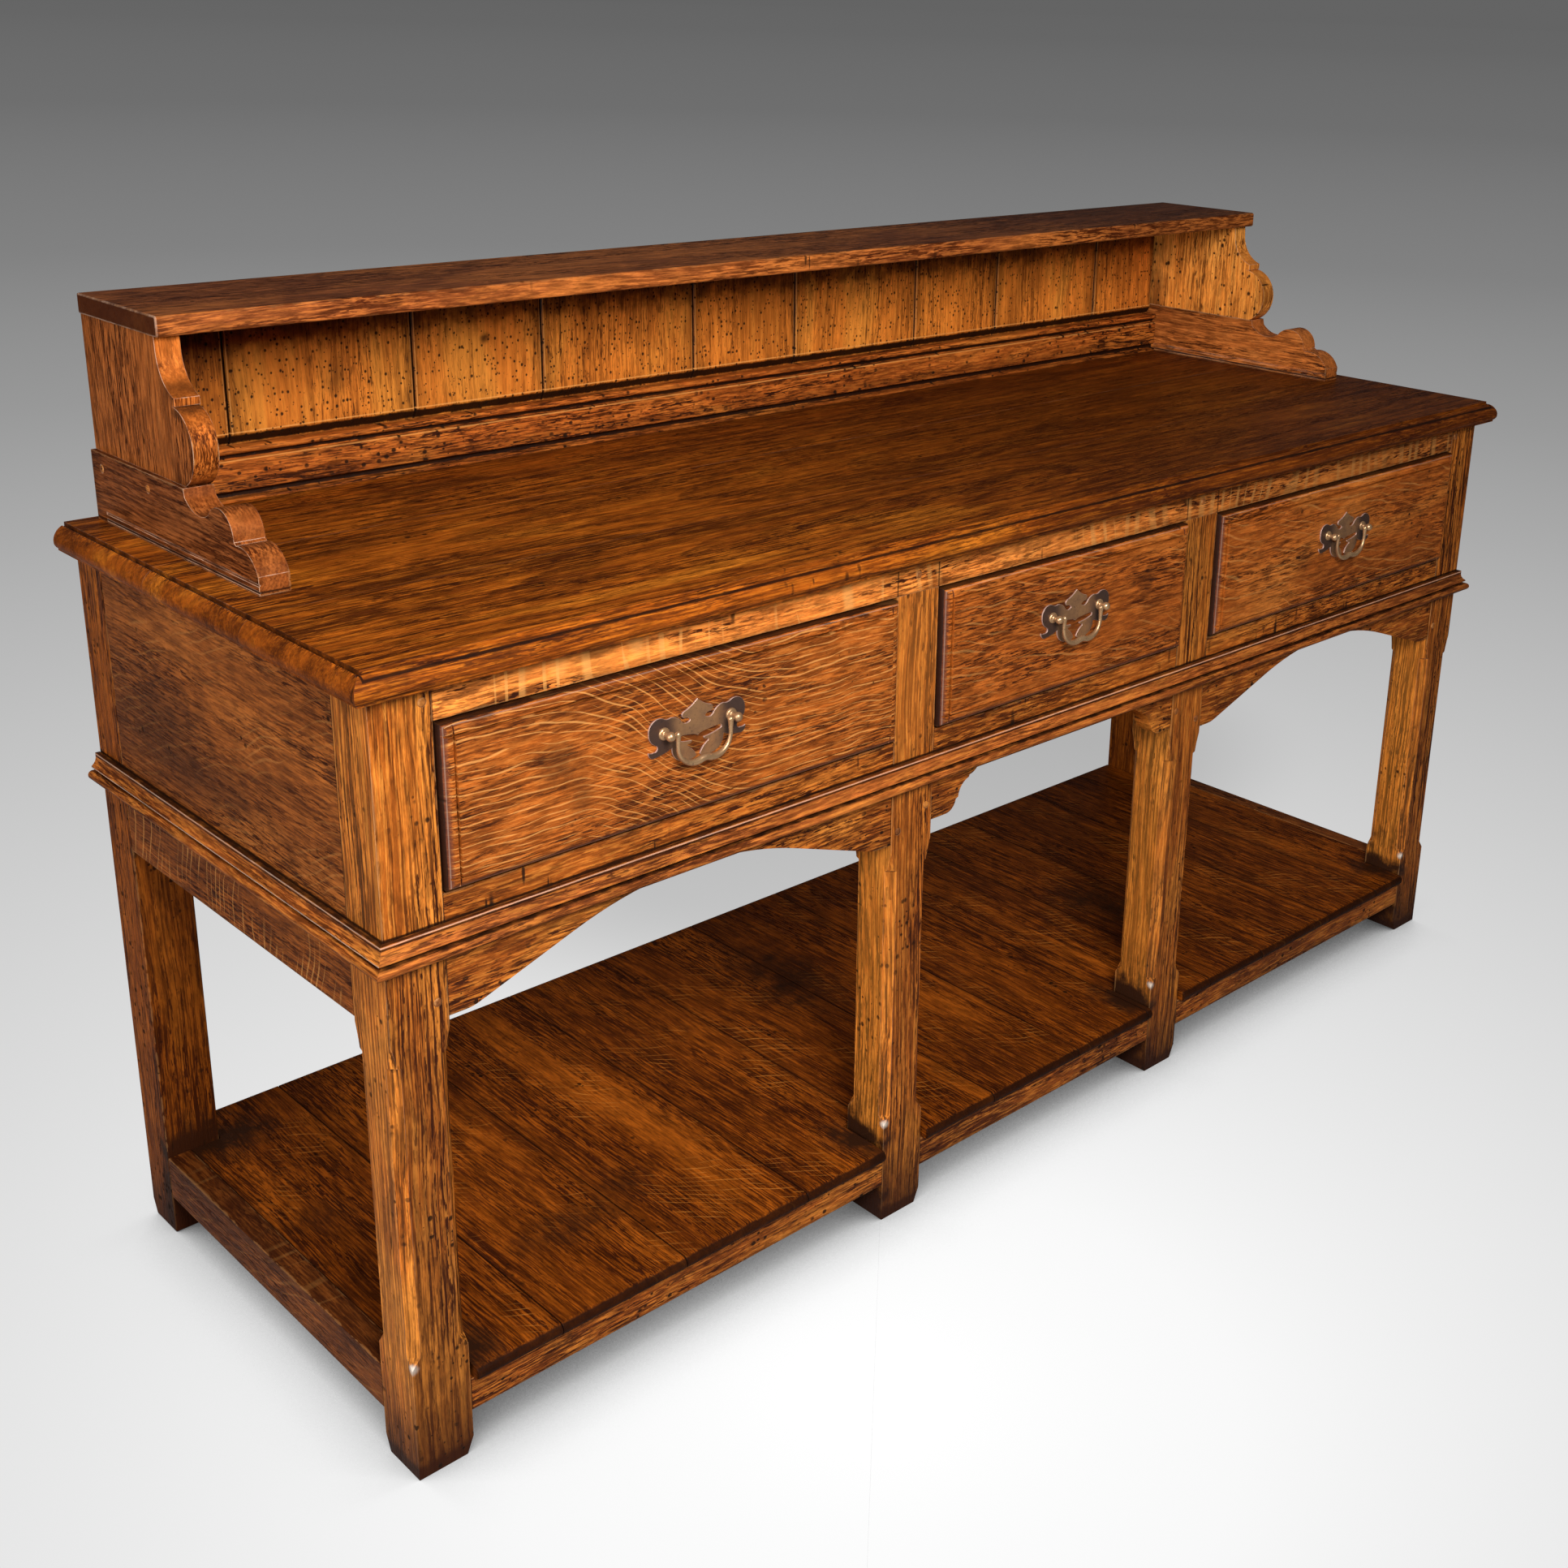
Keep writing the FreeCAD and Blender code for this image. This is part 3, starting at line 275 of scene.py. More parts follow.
def makePinHoles(setting):
    tree, given, result = newGroup(
        "pinHoles",
        [("Grain", "Vector"), ("Spacing", "Float"), ("Through", "Float"), ("Cover", "Float"),
         ("Splits", "Float")],
        [("Mask", "Float")])
    grain = given["Grain"]
    squeeze = put(tree, "CombineXYZ", {0: setting["lengthwise"], 1: 1.0, 2: given["Through"]}).outputs[0]
    cells = put(tree, "TexVoronoi", {"Vector": vectorSum(tree, "MULTIPLY", grain, squeeze),
                                     "Scale": given["Spacing"]}).outputs
    size = sums(tree, "POWER", axesOf(tree, cells["Color"])[0], 2.0)
    radius = sums(tree, "MULTIPLY_ADD", size, setting["sizeSpread"], setting["sizeLeast"])
    hole = sums(tree, "SUBTRACT", 1.0, sums(tree, "DIVIDE", cells["Distance"], radius), clamp=True)
    hole = fade(tree, hole, *setting["rim"])
    patch = fade(tree, cloud(tree, grain, *setting["patch"])[0],
                 sums(tree, "SUBTRACT", setting["patchFrom"], given["Cover"]),
                 sums(tree, "SUBTRACT", setting["patchTo"], given["Cover"]))
    split = fade(tree, cloud(tree, grain, *setting["split"])[0], *setting["splitFade"])
    split = times(tree, split, given["Splits"])
    tree.links.new(sums(tree, "MAXIMUM", times(tree, hole, patch), split), result["Mask"])
    return tree


# spots at given places: knots and stains, painted shade and painted shadows, or pale worn wood
spotSetting = {"ragged": ((1, 1, 1), 38.0, 4.0, 0.65), "raggedDepth": (1.3, 1.3, 1.3), "fade": (1.0, 0.1),
               "depth": 0.85}


def makeDarkSpot(setting):
    tree, given, result = newGroup(
        "darkSpot",
        [("Place", "Vector"), ("Under", "Color"), ("Middle", "Vector"), ("Spread", "Vector"),
         ("Depth", "Float"), ("Hue", "Color")],
        [("Color", "Color")])
    ragged = vectorSum(tree, "SUBTRACT", cloud(tree, given["Place"], *setting["ragged"])[1], (0.5, 0.5, 0.5))
    ragged = vectorSum(tree, "MULTIPLY", ragged, setting["raggedDepth"])
    spot = vectorSum(tree, "DIVIDE", vectorSum(tree, "SUBTRACT", given["Place"], given["Middle"]),
                     given["Spread"])
    away = lengthOf(tree, vectorSum(tree, "ADD", spot, ragged))
    mask = times(tree, fade(tree, away, *setting["fade"]), times(tree, given["Depth"], setting["depth"]))
    tree.links.new(blendColour(tree, mask, given["Under"], given["Hue"]), result["Color"])
    return tree


# dirt and painted shade in a quirk, a gap or under an overhang, or a pale painted highlight on an arris: a line
# at a given distance, with a ragged edge
grimeSetting = {"ragged": ((1, 1, 1), 70.0, 3.0, 0.6), "raggedFade": (0.25, 0.75, 0.8, 1.2), "core": 0.5}


def makeGrimeLine(setting):
    tree, given, result = newGroup(
        "grimeLine",
        [("Place", "Vector"), ("Under", "Color"), ("Distance", "Float"), ("At", "Float"), ("Reach", "Float"),
         ("Depth", "Float"), ("Hue", "Color")],
        [("Color", "Color")])
    off = sums(tree, "ABSOLUTE", sums(tree, "SUBTRACT", given["Distance"], given["At"]))
    ragged = cloud(tree, given["Place"], *setting["ragged"])[0]
    reach = times(tree, given["Reach"], fade(tree, ragged, *setting["raggedFade"]))
    mask = times(tree, fade(tree, off, reach, times(tree, reach, setting["core"])), given["Depth"])
    tree.links.new(blendColour(tree, mask, given["Under"], given["Hue"]), result["Color"])
    return tree


oakFigure = makeOakFigure(figureSetting)
rayFlake = makeRayFlake(flakeSetting)
edgeStain = makeEdgeStain(edgeSetting)
pinHoles = makePinHoles(holeSetting)
darkSpot = makeDarkSpot(spotSetting)
grimeLine = makeGrimeLine(grimeSetting)
print("oak groups made")


# one oak finish from its look: figure, flake, painted light and shade, spots, edges, dirt and shading lines,
# holes, then bump and gloss
finishSetting = {
    "endFade": (0.35, 0.75), "flankFade": (-0.5, -0.9), "frontFade": (-0.1, -0.5),
    "leeFade": (-0.15, -0.6), "leeLip": (0.0105, 0.0095),
    "bare": ((22, 60, 60), 1.0, 3.0, 0.6), "bareFade": (0.42, 0.56, 0.25, 1.0),
    "dirtDepth": 0.8, "handledHeight": (0.56, 0.36), "handledFront": (-0.7, -0.95),
    "holeDepth": 0.92, "holeColour": (0.012, 0.005, 0.002), "holeDip": 2.0, "bumpDistance": 0.0006,
    "poreRough": 0.2, "holeRough": 0.3, "waxRough": 0.25,
}


def oakFinish(name, look, setting):
    material = bpy.data.materials.new(name)
    material.use_nodes = True
    tree = material.node_tree
    surface = tree.nodes["Principled BSDF"]
    spot = put(tree, "TexCoord").outputs
    worldly = axesOf(tree, spot["Object"])
    facing = axesOf(tree, spot["Normal"])
    grain, along, fromLow, toHigh = [readMark(tree, mark) for mark in ("grain", "along", "fromLow", "toHigh")]
    place = vectorSum(tree, "ADD", grain, readMark(tree, "seed"))
    endGrain = put(tree, "VectorMath", {0: along, 1: spot["Normal"]}, operation="DOT_PRODUCT").outputs["Value"]
    endGrain = fade(tree, sums(tree, "ABSOLUTE", endGrain), *setting["endFade"])
    figure = placeGroup(tree, oakFigure, {
        "Grain": grain, "Place": place, "Tone": readMark(tree, "tone", "Fac"), "Pale": opaque(look["pale"]),
        "Mid": opaque(look["mid"]), "Dark": opaque(look["dark"]), "Ring Size": look["ringSize"],
        "Rings": look["rings"], "Streaks": look["streaks"], "Along": look["along"], "Across": look["across"],
        "Pores": look["pores"], "Mottle": look["mottle"], "Patina": look["patina"], "End Grain": endGrain})
    colour = blendColour(tree, times(tree, endGrain, look["endDark"]), figure["Color"], look["dark"])
    # heights, and distances in from the board's rim
    near = axesOf(tree, vectorSum(tree, "MINIMUM", fromLow, toHigh))
    rims = {"x": worldly[0], "y": worldly[1], "height": worldly[2], "seam": near[0],
            "front": sums(tree, "MINIMUM", near[0], near[2]),
            "top": sums(tree, "MINIMUM", near[0], sums(tree, "SUBTRACT", worldly[1], cadBox[0][1]))}
    if look["flake"]:
        flat = put(tree, "CombineXYZ", {0: worldly[0], 1: worldly[2], 2: worldly[1]}).outputs[0]
        flake = placeGroup(tree, rayFlake, {
            "Place": flat if look["flakeDrop"] else place, "Tilt": math.radians(look["flakeTilt"]),
            "Drop": look["flakeDrop"], "Drop From": look["dropFrom"], "Drop To": look["dropTo"],
            "Lines": look["flakeLines"], "Width": look["flakeWidth"], "Sweep": look["flakeSweep"],
            "Break": look["flakeBreak"], "Cover": look["flakeCover"]})
        colour = blendColour(tree, times(tree, flake["Mask"], look["flake"]), colour, look["flakeColour"])
    # painted light on faces turned to the left
    if look["flank"]:
        flank = times(tree, fade(tree, facing[0], *setting["flankFade"]), look["flank"])
        colour = blendColour(tree, flank, colour, look["flankColour"])
    # spots: knots, stains and pale worn wood, and painted shade and painted shadows
    for middle, spread, depth, *hue in look["spots"]:
        colour = placeGroup(tree, darkSpot, {
            "Place": spot["Object"], "Under": colour, "Middle": middle, "Spread": spread, "Depth": depth,
            "Hue": opaque(hue[0] if hue else look["spotColour"])})["Color"]
    # painted shade: darker along one axis, where the light falls off across the piece
    for axis, start, end, depth in look["shades"]:
        shade = fade(tree, worldly["xyz".index(axis)], start, end, 0.0, depth)
        colour = blendColour(tree, shade, colour, look["dark"])
    # painted light on faces turned to the front
    if look["frontGain"]:
        front = fade(tree, facing[1], *setting["frontFade"])
        colour = blendColour(tree, front, colour, look["frontGain"], "MULTIPLY")
    if look["leeDark"]:
        # painted shade on the lip of a drawer where it turns away from the light, to the left and down
        lee = [fade(tree, facing[axis], *setting["leeFade"]) for axis in (0, 2)]
        lee = times(tree, sums(tree, "MAXIMUM", *lee), fade(tree, rims["front"], *setting["leeLip"]))
        colour = blendColour(tree, times(tree, lee, look["leeDark"]), colour, look["leeColour"])
    # staining and painted shade along the board's edges, then worn arrises with a painted highlight
    edge = placeGroup(tree, edgeStain, {"From Low": fromLow, "To High": toHigh, "Grain": place,
                                        "Reach": look["stainReach"], "Rub": look["rub"]})
    colour = blendColour(tree, times(tree, edge["Stain"], look["stain"]), colour, look["stainColour"])
    colour = blendColour(tree, times(tree, edge["Rubbed"], look["rubbed"]), colour, look["rubColour"])
    # a painted glint highlight on the bevelled arrises, broken up in patches
    if look["glint"]:
        bare = fade(tree, cloud(tree, place, *setting["bare"])[0], *setting["bareFade"])
        glint = times(tree, times(tree, readMark(tree, "arris", "Fac"), bare), look["glint"])
        colour = blendColour(tree, glint, colour, look["glintColour"])
    # dark lines of dirt and of painted shade, and pale lines of painted highlight
    for kind, at, reach, depth, *hue in look["grime"]:
        colour = placeGroup(tree, grimeLine, {
            "Place": place, "Under": colour, "Distance": rims[kind], "At": at, "Reach": reach, "Depth": depth,
            "Hue": opaque(hue[0] if hue else look["grimeColour"])})["Color"]
    if look["footDirt"]:
        dirt = times(tree, fade(tree, worldly[2], look["footDirt"], 0.0), setting["dirtDepth"])
        colour = blendColour(tree, dirt, colour, look["stainColour"])
        # painted shade on the lower part of the front faces
        handled = times(tree, fade(tree, worldly[2], *setting["handledHeight"]),
                        fade(tree, facing[1], *setting["handledFront"]))
        colour = blendColour(tree, times(tree, handled, look["handled"]), colour, look["dark"])
    holes = placeGroup(tree, pinHoles, {
        "Grain": place, "Spacing": look["holeSpacing"], "Through": look["through"],
        "Cover": look["holeCover"], "Splits": look["splits"]})["Mask"]
    colour = blendColour(tree, times(tree, holes, setting["holeDepth"]), colour, setting["holeColour"])
    tree.links.new(colour, surface.inputs["Base Color"])
    height = sums(tree, "SUBTRACT", figure["Height"], times(tree, holes, setting["holeDip"]))
    bump = put(tree, "Bump", {"Height": height, "Strength": look["bump"],
                              "Distance": setting["bumpDistance"]})
    tree.links.new(bump.outputs[0], surface.inputs["Normal"])
    rough = sums(tree, "MULTIPLY_ADD", figure["Pore Mask"], setting["poreRough"], look["rough"])
    rough = sums(tree, "MULTIPLY_ADD", holes, setting["holeRough"], rough, clamp=True)
    tree.links.new(rough, surface.inputs["Roughness"])
    surface.inputs["Specular IOR Level"].default_value = look["shine"]
    surface.inputs["Coat Weight"].default_value = look["wax"]
    surface.inputs["Coat Roughness"].default_value = setting["waxRough"]
    return material


# the look of plain oak, which every finish starts from
plainOak = {
    "pale": (0.76, 0.27, 0.04), "mid": (0.45, 0.112, 0.012), "dark": (0.045, 0.009, 0.002),
    "ringSize": 0.011, "rings": 0.35, "streaks": 0.7, "along": 12.0, "across": 360.0, "pores": 0.8,
    "mottle": 0.55, "patina": 0.9, "endDark": 0.15, "shades": [], "frontGain": None,
    "leeDark": 0.0, "leeColour": (0.09, 0.028, 0.018), "flank": 0.0, "flankColour": (0.9, 0.36, 0.05),
    "flake": 0.0, "flakeTilt": 60, "flakeDrop": 0.0, "dropFrom": 0.0, "dropTo": 1.0, "flakeLines": 110.0,
    "flakeWidth": 0.1, "flakeSweep": 5.0, "flakeBreak": 14.0, "flakeCover": 0.55,
    "flakeColour": (0.85, 0.38, 0.1), "stain": 0.5, "stainReach": 0.012, "stainColour": (0.025, 0.006, 0.002),
    "rubbed": 0.16, "rub": 0.0018, "rubColour": (0.8, 0.38, 0.13),
    "glint": 0.0, "glintColour": (0.6, 0.38, 0.26),
    "holeSpacing": 130.0, "through": 0.12, "holeCover": 0.36, "splits": 0.35,
    "spots": [], "spotColour": (0.03, 0.01, 0.004), "grime": [], "grimeColour": (0.012, 0.004, 0.002),
    "footDirt": 0.0, "handled": 0.36, "bump": 0.4, "rough": 0.42, "shine": 0.1, "wax": 0.04,
}
paleOak = (0.85, 0.36, 0.09)
paleWax = (0.55, 0.42, 0.33)
# marks of wear, dark bands and painted shadows: spread and depth, with a colour where it is not dark, and where
# they lie
wearMarks = {
    "joint": (0.0013, 0.75), "sideJoint": (0.0013, 0.6), "behindHandle": ((0.07, 0.03, 0.042), 0.6),
    "collar": ((0.03, 0.07, 0.02), 1.8), "collarBack": 0.01, "collarRise": 0.003,
    "foot": ((0.03, 0.08, 0.13), 1.8), "footBack": 0.02, "footHeight": 0.03,
    "tip": ((0.008, 0.008, 0.007), 1.2, (0.8, 0.7, 0.6)), "tipHeight": 0.121,
    "besideMark": ((0.04, 0.07, 0.03), 1.3), "beside": 0.012, "rearBeside": ((0.08, 0.07, 0.03), 1.4),
    "rearCollar": ((0.08, 0.03, 0.024), 1.8), "rearRise": 0.005, "rearIn": 0.03,
    "rearFoot": ((0.08, 0.03, 0.12), 1.8), "rearFootHeight": 0.04,
    "stileHeight": 0.66, "paleStile": ((0.09, 0.05, 0.22), 0.25, (0.78, 0.25, 0.04)),
    "darkStile": ((0.09, 0.05, 0.25), 0.3), "flankHeight": 0.3, "darkFlank": ((0.04, 0.12, 0.4), 0.3),
}
# darker round each handle
behindHandles = {}
for bay in ("left", "centre", "right"):
    low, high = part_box("handle_plate_" + bay)
    behindHandles[bay] = (tuple((low + high) / 2), *wearMarks["behindHandle"])
# joint lines at the legs, a dark band where they meet the potboard, painted shadow on the feet under the
# potboard and on the potboard beside them, and worn tips below the chamfers
legLines, legMarks, potMarks, stileMiddles = [], {}, [], {}
potLow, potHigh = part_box("potboard_planks")
for leg in ("left", "inner_left", "inner_right", "right"):
    low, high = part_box("leg_front_" + leg)
    middle = (low.y + high.y) / 2
    legLines += [("x", low.x, *wearMarks["joint"]), ("x", high.x, *wearMarks["joint"])]
    collar = (low.x, middle + wearMarks["collarBack"], potHigh.z + wearMarks["collarRise"])
    foot = (low.x, middle + wearMarks["footBack"], wearMarks["footHeight"])
    tip = (low.x, low.y, wearMarks["tipHeight"])
    legMarks[leg] = [(collar, *wearMarks["collar"]), (foot, *wearMarks["foot"]), (tip, *wearMarks["tip"])]
    beside = high.x + wearMarks["beside"] if leg == "left" else low.x - wearMarks["beside"]
    potMarks.append(((beside, middle, potHigh.z), *wearMarks["besideMark"]))
    stileMiddles[leg] = ((low.x + high.x) / 2, low.y, wearMarks["stileHeight"])
low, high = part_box("leg_front_inner_right")
flankMiddle = (low.x, (low.y + high.y) / 2, wearMarks["flankHeight"])
legSpots = legMarks["inner_left"] + legMarks["inner_right"] + legMarks["right"] + [
    (stileMiddles["inner_left"], *wearMarks["paleStile"]),
    (stileMiddles["inner_right"], *wearMarks["darkStile"]), (flankMiddle, *wearMarks["darkFlank"])]
low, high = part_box("leg_rear_left")
rearX = high.x - wearMarks["rearIn"]
rearMarks = [((rearX, low.y, potHigh.z + wearMarks["rearRise"]), *wearMarks["rearCollar"]),
             ((rearX, low.y, wearMarks["rearFootHeight"]), *wearMarks["rearFoot"])]
potMarks.append(((high.x, low.y, potHigh.z), *wearMarks["rearBeside"]))
sideLines = [("y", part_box("leg_front_left")[1].y, *wearMarks["sideJoint"]),
             ("y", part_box("leg_rear_left")[0].y, *wearMarks["sideJoint"])]
# painted shade lines under the worktop and above and below the waist moulding, and a dark line round the feet
underTop = ("height", 0.755, 0.0042, 0.93)
overWaist = ("height", 0.541, 0.0032, 0.95)
underWaist = ("height", 0.514, 0.0034, 0.92)
legGrime = [underTop, overWaist, underWaist, ("height", 0.0, 0.018, 0.85)]
# painted shade in the gaps round the drawers, and along the lip of a drawer front a dark quirk line, painted
# shade at the rim and a painted highlight on the arris
underDrawers, overDrawers = [("height", corner.z, 0.0032, 0.92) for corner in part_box("drawer_front_left")]
drawerLines = [("front", 0.0112, 0.0008, 0.3), ("front", 0.0, 0.0018, 0.9),
               ("front", 0.0027, 0.0006, 0.2, paleWax)]


def lookOf(**changes):
    look = dict(plainOak)
    look.update(changes)
    return look


finishes = {
    # worktop: painted light on the front faces, painted shade falling off to the right, a painted glint on the
    # arrises
    "topOak": lookOf(
        mid=(0.33, 0.072, 0.005), pale=(0.66, 0.19, 0.014), rings=1.0, ringSize=0.012, along=14.0,
        across=440.0, mottle=1.0, patina=1.0, endDark=0.3, frontGain=(1.12, 1.12, 1.16), stain=0.1,
        rubbed=0.0, glint=0.16, shine=0.06, shades=[("x", -0.75, 0.45, 0.62)],
        grime=[("top", 0.0108, 0.0014, 0.92)]),
    # inner and right legs: painted light on the left faces and a painted glint on the arrises; painted shade on
    # the lower fronts, under the worktop, round the waist moulding and on the feet under the potboard
    "legOak": lookOf(
        rings=0.6, ringSize=0.006, streaks=0.95, along=6.0, across=420.0, flank=0.15, stain=0.2, glint=0.22,
        through=1.0, holeCover=0.42, splits=0.9, footDirt=0.11, handled=0.24, grime=legGrime, spots=legSpots),
    # corner leg: painted light on the left face and a painted glint on the arrises; painted shade on the lower
    # front, under the worktop and round the waist moulding
    "cornerOak": lookOf(
        rings=0.9, ringSize=0.0045, streaks=1.0, along=6.0, across=420.0, patina=1.0, flank=0.05, stain=0.15,
        glint=0.22, through=1.0, holeCover=0.42, splits=0.9, footDirt=0.11, handled=0.44, grime=legGrime,
        spots=legMarks["left"][2:]),
    # rear legs: painted shade under the worktop and round the waist moulding, and painted shadow on the foot
    # under the potboard
    "rearLegOak": lookOf(
        mid=(0.27, 0.062, 0.005), pale=(0.46, 0.13, 0.012), streaks=0.8, across=420.0, stain=0.3, through=1.0,
        holeCover=0.45, splits=0.6, footDirt=0.11, shine=0.06, grime=[underTop, overWaist, underWaist],
        spots=[((-0.835, 0.192, 0.397), (0.02, 0.016, 0.02), 0.95),
               ((-0.835, 0.236, 0.449), (0.02, 0.012, 0.01), 0.9)] + rearMarks),
    # top rail: brighter than the other rails as painted light; painted shade falling off to the right, under
    # the worktop and over the drawers
    "railOak": lookOf(
        mid=(0.85, 0.235, 0.037), pale=(1.0, 0.4, 0.08), streaks=0.65, along=26.0, pores=0.75, mottle=0.3,
        flake=0.55, flakeTilt=-62, flakeLines=58.0, flakeWidth=0.2, flakeSweep=7.0, flakeBreak=34.0,
        flakeCover=0.58, splits=0.8, shades=[("x", -0.45, 0.6, 0.5)],
        grime=[underTop, overDrawers] + legLines,
        spots=[((-0.69, -0.26, 0.743), (0.045, 0.03, 0.014), 0.15),
               ((-0.615, -0.26, 0.745), (0.03, 0.03, 0.012), 0.45),
               ((-0.655, -0.26, 0.74), (0.012, 0.03, 0.02), 0.6, paleOak),
               ((-0.575, -0.26, 0.742), (0.012, 0.03, 0.02), 0.7, paleOak)]),
    # painted shade above the waist moulding and under the drawers
    "drawerRailOak": lookOf(
        mid=(0.42, 0.102, 0.012), along=30.0, across=420.0, holeCover=0.45,
        grime=[overWaist, underDrawers] + legLines),
    # painted shade under the waist moulding
    "apronOak": lookOf(
        mid=(0.34, 0.079, 0.009), along=30.0, across=420.0, mottle=0.8, holeCover=0.5,
        grime=[underWaist] + legLines),
    # a painted highlight on the top fillet, with dark lines in the quirk and at the foot
    "galleryRailOak": lookOf(
        mid=(0.48, 0.108, 0.015), pale=(0.72, 0.22, 0.033), along=30.0, across=420.0, mottle=0.9, patina=0.7,
        stain=0.0, rubbed=0.0, holeCover=0.5,
        grime=[("height", 0.79, 0.016, 0.35), ("height", 0.8254, 0.0028, 0.97),
               ("height", 0.787, 0.0034, 0.97), ("height", 0.8214, 0.0009, 0.55, paleOak)]),
    # painted shade towards the bottom and the back of the panel, under the worktop and round the waist moulding
    "panelOak": lookOf(
        mid=(0.285, 0.075, 0.011), pale=(0.46, 0.135, 0.022), along=30.0, across=480.0, pores=0.7, mottle=0.9,
        flake=0.15, flakeTilt=20, stainReach=0.03, holeCover=0.34, shine=0.08,
        shades=[("z", 0.68, 0.54, 0.25), ("y", -0.05, 0.22, 0.2)],
        grime=[underTop, overWaist, underWaist] + sideLines,
        spots=[((-0.835, 0.13, 0.62), (0.05, 0.15, 0.08), 0.6),
               ((-0.835, 0.05, 0.585), (0.05, 0.2, 0.03), 0.5)]),
    # painted shade under the waist moulding
    "sideApronOak": lookOf(
        mid=(0.245, 0.06, 0.007), pale=(0.41, 0.113, 0.016), along=30.0, across=480.0, pores=0.7, mottle=0.9,
        flake=0.4, flakeTilt=80, stain=0.45, holeCover=0.3, shine=0.08, grime=[underWaist] + sideLines),
    # painted shade falling off to the right, a painted highlight on the fillet's arris, and dark lines in the
    # quirks
    "mouldOak": lookOf(
        mid=(0.43, 0.11, 0.02), streaks=0.6, along=26.0, across=420.0, pores=0.5, stain=0.0, rubbed=0.0,
        holeCover=0.2, shades=[("x", -0.2, 0.8, 0.3)],
        grime=[("height", 0.5247, 0.0021, 0.97), ("height", 0.5397, 0.0008, 0.6, (0.85, 0.5, 0.34)),
               ("height", 0.5418, 0.0013, 0.8), ("height", 0.5378, 0.0012, 0.85),
               ("height", 0.5146, 0.0010, 0.85)]),
    # painted reflections on the fillets, and dark lines in the quirks
    "sideMouldOak": lookOf(
        mid=(0.31, 0.079, 0.013), streaks=0.6, along=26.0, across=420.0, pores=0.5, stain=0.0, rubbed=0.0,
        holeCover=0.2,
        grime=[("height", 0.5247, 0.0014, 0.97), ("height", 0.5398, 0.0007, 0.7, paleWax),
               ("height", 0.5418, 0.0014, 0.9), ("height", 0.5377, 0.001, 0.85),
               ("height", 0.5271, 0.0006, 0.6, paleWax), ("height", 0.5146, 0.0010, 0.85)]),
    "pegOak": lookOf(
        mid=(0.36, 0.12, 0.035), streaks=0.3, stain=0.3, rubbed=0.3, holeCover=0.1),
    # painted shadows of the legs on the potboard, behind and beside them
    "potOak": lookOf(
        mid=(0.17, 0.036, 0.0025), pale=(0.37, 0.087, 0.006), streaks=0.9, along=16.0, across=520.0,
        mottle=0.9, patina=1.0, flake=0.55, flakeTilt=50, flakeLines=120.0, flakeWidth=0.07, flakeSweep=3.0,
        flakeBreak=40.0, flakeCover=0.45, flakeColour=(0.62, 0.22, 0.035), stain=0.3, stainReach=0.02,
        rubbed=0.0, shine=0.04, wax=0.02, grime=[("seam", 0.0, 0.0009, 0.75), ("y", potLow.y, 0.0045, 0.85)],
        spots=[((-0.59, -0.147, 0.112), (0.09, 0.05, 0.05), 0.85),
               ((-0.51, -0.122, 0.112), (0.06, 0.05, 0.05), 0.6),
               ((-0.763, 0.029, 0.112), (0.05, 0.05, 0.05), 0.7),
               ((-0.09, 0.11, 0.112), (0.08, 0.17, 0.05), 1.2),
               ((0.375, -0.03, 0.112), (0.07, 0.12, 0.05), 1.15)] + potMarks),
    # painted light on the front edge, a painted glint on the arrises, painted shade falling off to the right
    "shelfOak": lookOf(
        mid=(0.18, 0.048, 0.0135), pale=(0.38, 0.115, 0.026), streaks=0.95, along=26.0, across=420.0,
        mottle=0.9, endDark=0.85, frontGain=(1.85, 1.8, 1.5), stain=0.2, rubbed=0.1, glint=0.35, shine=0.08,
        shades=[("x", 0.0, 0.8, 0.35)]),
    # brighter than oak as painted light in the shelf's shade; darker to the left, the shelf's painted shadow
    # along the top, painted shade in the bevel at the foot, painted highlights beside the seams and on the
    # foot's arris
    "boardOak": lookOf(
        mid=(0.9, 0.25, 0.03), pale=(1.0, 0.39, 0.055), rings=0.25, streaks=0.35, along=9.0, across=260.0,
        pores=0.45, patina=0.3, stain=0.65, stainReach=0.03, rubbed=0.0, holeSpacing=215.0, holeCover=0.84,
        splits=0.1, shades=[("x", 0.75, -0.6, 0.25)],
        grime=[("height", 0.985, 0.065, 0.8), ("seam", 0.0, 0.001, 0.97),
               ("seam", 0.0024, 0.0008, 0.45, paleOak), ("height", 0.8395, 0.0062, 0.98),
               ("height", 0.8466, 0.0009, 0.6, paleOak)],
        spots=[((-0.38, 0.27, 0.913), (0.009, 0.02, 0.009), 0.95),
               ((-0.559, 0.27, 0.892), (0.02, 0.02, 0.03), 0.6)]),
    # a painted glint on the arrises
    "uprightOak": lookOf(
        mid=(0.86, 0.27, 0.038), pale=(1.0, 0.48, 0.1), streaks=0.5, pores=0.5, patina=0.5, stain=0.3,
        rubbed=0.2, glint=0.5, holeCover=0.55, spots=[((0.79, 0.26, 0.86), (0.05, 0.03, 0.12), 0.8)]),
    # painted light on the front faces and a painted glint on the arrises; painted shade under the bead and
    # under the lobe
    "outerUprightOak": lookOf(
        mid=(0.35, 0.093, 0.018), pale=(0.54, 0.18, 0.045), along=20.0, across=420.0, mottle=0.8,
        frontGain=(1.5, 1.4, 1.0), stain=0.4, rubbed=0.3, glint=0.6, holeCover=0.3, shine=0.05,
        grime=[("height", 0.838, 0.008, 0.7)],
        spots=[((-0.796, 0.105, 0.934), (0.05, 0.014, 0.02), 0.75),
               ((-0.796, 0.092, 0.9125), (0.05, 0.014, 0.009), 0.95),
